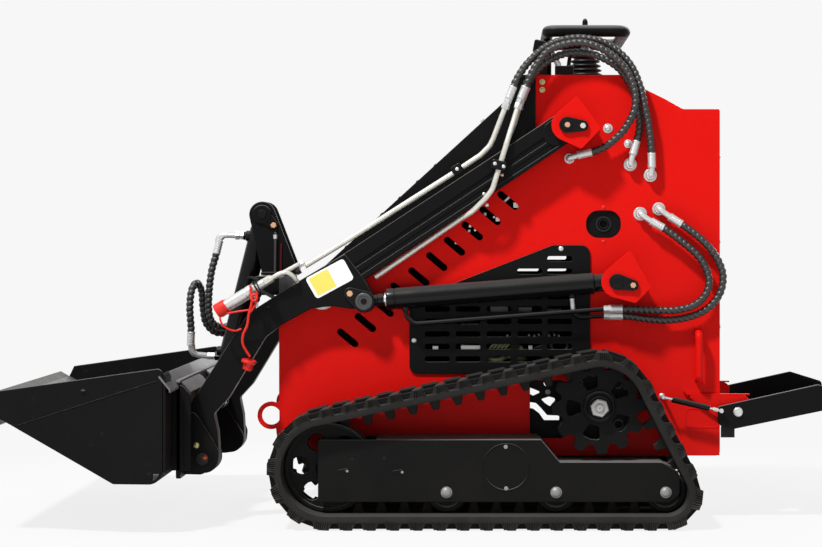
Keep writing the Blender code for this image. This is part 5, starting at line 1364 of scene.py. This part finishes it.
def lift_cylinders():
    y = (ARM_IN + ARM_OUT) / 2
    part = Piece("lift_cylinder", "SIDE_lift_barrel", "gloss_black", ["lift_barrel"])
    start, along = barrel(part, LIFT_BASE, LIFT_EYE, 0.615, 0.0285, 0.013, y, 0.02, 0.064)
    for offset, route in ((0.006, "565 20, 565 50, 545 71, 38 71"), (-0.008, "121 20, 121 75, 105 89, 38 89")):
        line = [(x, y + offset, z) for x, z in placed(mm(route), LIFT_BASE, LIFT_EYE)]
        part.sweep(bent(line, 0.02, 8), PIPE_R * 0.8, 16)
        port = Vector(line[0])
        down = (Vector(line[1]) - port).normalized()
        part.lathe(mm("4 10, 12 10, 14 8.5"), port, down, 28)
        if offset < 0:
            part.lathe([(0.016, PIPE_R * 0.9), (0.046, PIPE_R * 0.9)], port, down, 20, "silver")
    part.mirrored()
    rod = Piece("lift_piston_rod", "SIDE_lift_rod", "chrome", ["lift_rod"])
    total = math.dist(LIFT_BASE, LIFT_EYE)
    rod.lathe(mm("-470 12.8, -28 12.8", total), start, along, 48)
    rod.lathe(mm("-52 15, -50 16.2, -36 16.2, -34 14.2, -20 14.2", total), start, along, 40, "gloss_black")
    rod.disc(*LIFT_EYE, 0.026, y - 0.013, y + 0.013, 0.0018, 48, "gloss_black")
    rod.mirrored()


def tilt_cylinder():
    part = Piece("tilt_cylinder", "tilt_barrel", "gloss_black", ["tilt_barrel"])
    start, along = barrel(part, TOWER_PIN, TILT_EYE, 0.43, 0.028, 0.015, 0.0, 0.03, 0.044)
    for share in (0.395, 0.062):
        at = start + along * share
        part.lathe(mm("0 15, 34 15, 36 13"), at, (-1, 0, 0.02), 28)
    part.single()
    rod = Piece("tilt_piston_rod", "tilt_rod", "chrome", ["tilt_rod"])
    total = math.dist(TOWER_PIN, TILT_EYE)
    rod.lathe(mm("-320 14.8, -22 14.8", total), start, along, 48)
    rod.lathe(mm("-44 18.5, -42 20, -24 20, -20 18, -14 16", total), start, along, 40, "gloss_black")
    rod.disc(*TILT_EYE, 0.024, -0.02, 0.02, 0.0018, 48, "gloss_black")
    rod.single()


lift_cylinders()
tilt_cylinder()


# ---------------------------------------------------------------- bucket
LIP, FLOOR_FRONT = (-1.3465, 0.34), (-0.983, 0.13)


def band(points, thickness):
    """A line of points thickened to its left into an outline."""
    vectors = [Vector(p) for p in points]
    inner = []
    for i, here in enumerate(vectors):
        before = (here - vectors[i - 1]).normalized() if i else None
        after = (vectors[i + 1] - here).normalized() if i + 1 < len(vectors) else None
        normals = [Vector((-d.y, d.x)) for d in (before, after) if d]
        mean = sum(normals, Vector((0, 0))).normalized()
        inner.append(here + mean * thickness / mean.dot(normals[0]))
    return [tuple(v) for v in vectors + inner[::-1]]


def bucket():
    part = Piece("bucket_shell", "bucket", "worn_black", ["bucket"])
    back = [LIP, FLOOR_FRONT, (-0.9, 0.129), *arc(-0.893, 0.165, 0.036, 280, 350, 12), (-0.857, 0.36),
            (-0.866, 0.405)]
    part.plate(band(back, 0.008), -0.5285, 0.5285)
    side = fillet([(-1.319, 0.325, 0.002), (*FLOOR_FRONT, 0.02), *mm("-884 129 6, -882 156 2, -857 156 2, "
                                                                     "-857 425 14, -1301 363 4")])
    for sign in SIDES:
        part.plate(side, sign * 0.52, sign * 0.53, 0.0018, 2)
        # folded ledge below each side plate's top edge, and its plug bolt
        fold = mm("-871.3 389.9, -1226.9 278.2, -1226.6 280, -871.3 394")
        part.plate(fold, sign * 0.5292, sign * 0.5312, 0.0006)
        part.bolt(-1.0584, 0.3645, sign * 0.53, 0.0055, 0.0028, "black", sign, True, True)
        # rear stiffener down the side's back edge
        part.plate(mm("-856 160, -849 160, -849 400, -856 412"), sign * 0.44, sign * 0.53)
    # bent rail along the top of the back plate, scuffed to bare metal, its light grey also a painted highlight
    # along its top
    rail = mm("-868 402, -864 406, -836 370, -836 363, -840 363, -840 368")
    part.plate(rail, -0.5325, 0.5325, 0.001, paint="grey_steel")
    # wear strips inside the mouth
    inner = placed(mm("30 8.3, 110 8.3, 108 10.5, 32 10.5"), LIP, FLOOR_FRONT)
    part.plate(inner, -0.519, 0.519, 0.0006, paint="grey_steel")
    part.single()
    edge = Piece("bucket_cutting_edge", "bucket", "steel", ["bucket_edge"])
    edge.plate(placed(mm("1 -0.3, 18 -14.3, 95 -14.3, 95 -0.3"), LIP, FLOOR_FRONT), -0.528, 0.528, 0.0008)
    x, z = placed(mm("60 -14.3"), LIP, FLOOR_FRONT)[0]
    along = (Vector(FLOOR_FRONT) - Vector(LIP)).normalized()
    for k in range(7):
        edge.lathe(mm("-1 10.5, 2.2 9.5, 4.6 6, 5 0"), (x, -0.45 + 0.15 * k, z), (along.y, 0, -along.x), 24)
    edge.single()


def quick_attach():
    part = Piece("attach_plate", "bucket", "black", ["quick_attach"])
    x1, t = -0.832, 0.012
    part.plate(rounded(-0.4, 0.128, 0.4, 0.385, 0.01), x1 - t, x1, 0.0015, 2,
               holes=[rounded(-0.025, 0.165, 0.025, 0.345, 0.008)], plane=YZ)
    ear = [(x1 - 0.004, 0.129), (-0.8, 0.129), *arc(*BUCKET_PIVOT, 0.04, 270, 395, 24), (-0.806, 0.283),
           (x1 - 0.004, 0.291)]
    outer_ear = fillet([(x1 - 0.004, 0.13, 0.0), *mm("-790 129 20, -748 150 30, -744 190 30, -759 220 30, "
                                                     "-796 279 20, -809.2 293 8"), (x1 - 0.004, 0.296, 0.0)])
    for sign in SIDES:
        part.plate(ear, sign * 0.227, sign * 0.237, 0.0015, 2)
        part.plate(outer_ear, sign * 0.303, sign * 0.313, 0.0018, 2)
        part.disc(*BUCKET_PIVOT, PIN_R, sign * 0.233, sign * 0.317, sides=36, paint="gloss_black")
        face = sign * 0.313
        part.bolt(-0.8034, 0.2066, face, 0.0084, 0.0055, "brass", sign, True)
        part.lathe_y(mm("0 7, 4 7, 8 5.5, 11 3, 11.5 0", face, sign), -0.7801, 0.1751, 20, "orange")
        lug = around([(x1 - 0.004, TILT_EYE[1] - 0.03, 0.004), (*TILT_EYE, 0.026),
                      (x1 - 0.004, TILT_EYE[1] + 0.035, 0.004)])
        part.plate(lug, sign * 0.026, sign * 0.038, 0.0018, 2)
        part.bolt(*TILT_EYE, sign * 0.038, 0.013, 0.007, "copper", sign, washer=True)
        part.block(-0.8567, x1 - t + 0.001, sign * 0.33, sign * 0.342, 0.17, 0.36)
        # scuffed lip along the plate's top, on both sides of the arm
        lip = mm("-834 382, -820 371.5, -806 354.5, -809 352, -823 367.5, -834 376")
        part.plate(lip, sign * 0.07, sign * 0.378, 0.0008, paint="grey_steel")
        # end plate that closes the gap between the plate and the bucket's back, with its two bends
        closing = mm("-856.6 150, -805 150, -805 348, -828 372, -856.6 372")
        part.plate(closing, sign * 0.392, sign * 0.4, 0.0015)
        for x in (-0.843, -0.822):
            part.block(x - 0.0012, x + 0.0012, sign * 0.3995, sign * 0.4015, 0.152, 0.352, 0.0005)
    part.single()


bucket()
quick_attach()


# ---------------------------------------------------------------- platform
def platform():
    part = Piece("step_platform", "platform", "black", ["platform"])
    outline = fillet(mm("582.5 260 6, 593.5 250 8, 626 246 10, 945 311.5 2, 939 336 10, 849 364 12, 580.5 305 10"))
    y0, y1 = 0.256, 0.268
    run = (STEP_PIVOT[0] + 0.98, STEP_PIVOT[1] + 0.199)     # gives the slope of the tread
    part.plate(placed(mm("53 -36, 302 -36, 302 -28, 53 -28"), STEP_PIVOT, run), -(y0 + 0.004), y0 + 0.004)
    # ribs across the tread
    for k in range(9):
        rib = placed(mm("0 -28.2, 10 -28.2, 8 -25.2, 2 -25.2", 0.062 + 0.026 * k), STEP_PIVOT, run)
        part.plate(rib, -0.225, 0.225, 0.0008, paint="boot")
    for sign in SIDES:
        part.plate(outline, sign * y0, sign * y1, 0.0018, 2)
        part.disc(*STEP_PIVOT, 0.009, sign * (BODY_HALF + 0.001), sign * (y1 + 0.005), 0.001, paint="silver")
        part.bolt(*STEP_PIVOT, sign * y1, 0.013, 0.005, side=sign, dome=True)
        part.disc(*STRUT_EYE, 0.004, sign * (y1 - 0.002), sign * 0.277, 0.0006, 20, "silver")
    part.single()
    # rubber stop on the body's rear edge, under the platform
    stop = Piece("step_stop", "machine", "gloss_black")
    stop.block(0.5927, 0.63, 0.2285, 0.2345, 0.2195, 0.2491, 0.0025)
    stop.mirrored()


def struts():
    start = Vector((STRUT_BASE[0], 0.282, STRUT_BASE[1]))
    along = (Vector((STRUT_EYE[0], 0.282, STRUT_EYE[1])) - start).normalized()
    total = math.dist(STRUT_BASE, STRUT_EYE)
    part = Piece("gas_strut_tube", "SIDE_strut_barrel", "gloss_black", ["strut_barrel"])
    part.lathe(mm("4 3.6, 30 3.6"), start, along, 24, "silver")
    part.lathe(mm("24 6.4, 27 8, 124 8, 127 6.4, 127 4, 120 3.8"), start, along)
    part.lathe_y(mm("278 4.2, 280 5.2, 284 5.2, 286 4.2"), *STRUT_BASE, 28, "silver")
    part.mirrored()
    rod = Piece("gas_strut_rod", "SIDE_strut_rod", "chrome", ["strut_rod"])
    rod.lathe([(0.06, 0.0031), (total - 0.004, 0.0031)], start, along, 24)
    rod.lathe(mm("-24 4.6, -22 5.2, -10 5.2, -8 4", total), start, along, 24, "silver")
    rod.lathe_y(mm("278 5.2, 280 6.4, 284 6.4, 286 5.2"), *STRUT_EYE, 28, "silver")
    rod.mirrored()
    foot = Piece("strut_foot", "machine", "silver")
    foot.lathe_y([*mm("0 8, 6 7, 8 4.4", BODY_HALF), (0.277, 0.004), (0.2774, 0)], *STRUT_BASE, 24)
    foot.mirrored()


platform()
struts()


# ---------------------------------------------------------------- floor, light and background
BACKGROUND = 0.93       # brightness of the plain background


def floor():
    work = bmesh.new()
    bmesh.ops.create_grid(work, x_segments=2, y_segments=2, size=30)
    obj = add_object("floor", emptied(work, bpy.data.meshes.new("floor")))
    obj.location.z = -0.0005
    made, tree, shader = material("pale_floor")
    tone = span(tree, cloud(tree, 2.0, 3.0, 0.5), 0.3, 0.7, 0.0, 1.0)
    feed(tree, shader, {"Specular IOR Level": 0.05, "Roughness": 0.9,
                        "Base Color": mixed(tree, tone, (0.8, 0.8, 0.8), (0.82, 0.82, 0.82))})
    glow = add(tree, "Emission", {"Color": (1, 1, 1), "Strength": BACKGROUND})
    # the floor is wholly white away from the machine, and takes its shadow near it
    place = add(tree, "NewGeometry", {}).outputs["Position"]
    reach = add(tree, "VectorMath", {0: place}, operation="LENGTH").outputs["Value"]
    seen = maths(tree, "MULTIPLY", add(tree, "LightPath", {}).outputs["Is Camera Ray"],
        span(tree, reach, 1.1, 2.1, 0.89, 1.0))
    mix = add(tree, "MixShader", {"Fac": seen, 1: shader.outputs["BSDF"], 2: glow.outputs["Emission"]})
    feed(tree, tree.nodes["Material Output"], {"Surface": mix.outputs["Shader"]})
    obj.data.materials.append(made)


def world():
    """Even light from all round; the camera, mirrors and glass see the plain background."""
    made = bpy.data.worlds.new("studio")
    made.use_nodes = True
    tree = made.node_tree
    back = feed(tree, tree.nodes["Background"], {"Color": (1, 1, 1), "Strength": 0.40})
    white = add(tree, "Background", {"Color": (1, 1, 1), "Strength": BACKGROUND})
    rays = add(tree, "LightPath", {}).outputs
    either = maths(tree, "MAXIMUM", rays["Is Camera Ray"], rays["Is Glossy Ray"])
    plain = maths(tree, "MAXIMUM", either, rays["Is Transmission Ray"])
    mix = add(tree, "MixShader", {"Fac": plain, 1: back.outputs["Background"], 2: white.outputs["Background"]})
    feed(tree, tree.nodes["World Output"], {"Surface": mix.outputs["Shader"]})
    bpy.context.scene.world = made


def lamp(name, toward, distance, size, watts):
    """A round soft lamp that shines along a direction at the middle of the machine."""
    data = bpy.data.lights.new(name, "AREA")
    data.shape, data.size, data.energy = "DISK", size, watts
    obj = add_object(name, data)
    way = Vector(toward).normalized()
    obj.location = Vector((0.05, 0.0, 0.55)) - way * distance
    obj.rotation_euler = way.to_track_quat("-Z", "Y").to_euler()


floor()
world()
lamp("key", (0.75, 1.0, -1.80), 9.0, 0.8, 1120)
lamp("rear_fill", (-1.0, -1.6, -0.9), 9.0, 5.0, 400)
bpy.context.scene.view_settings.view_transform = "Standard"
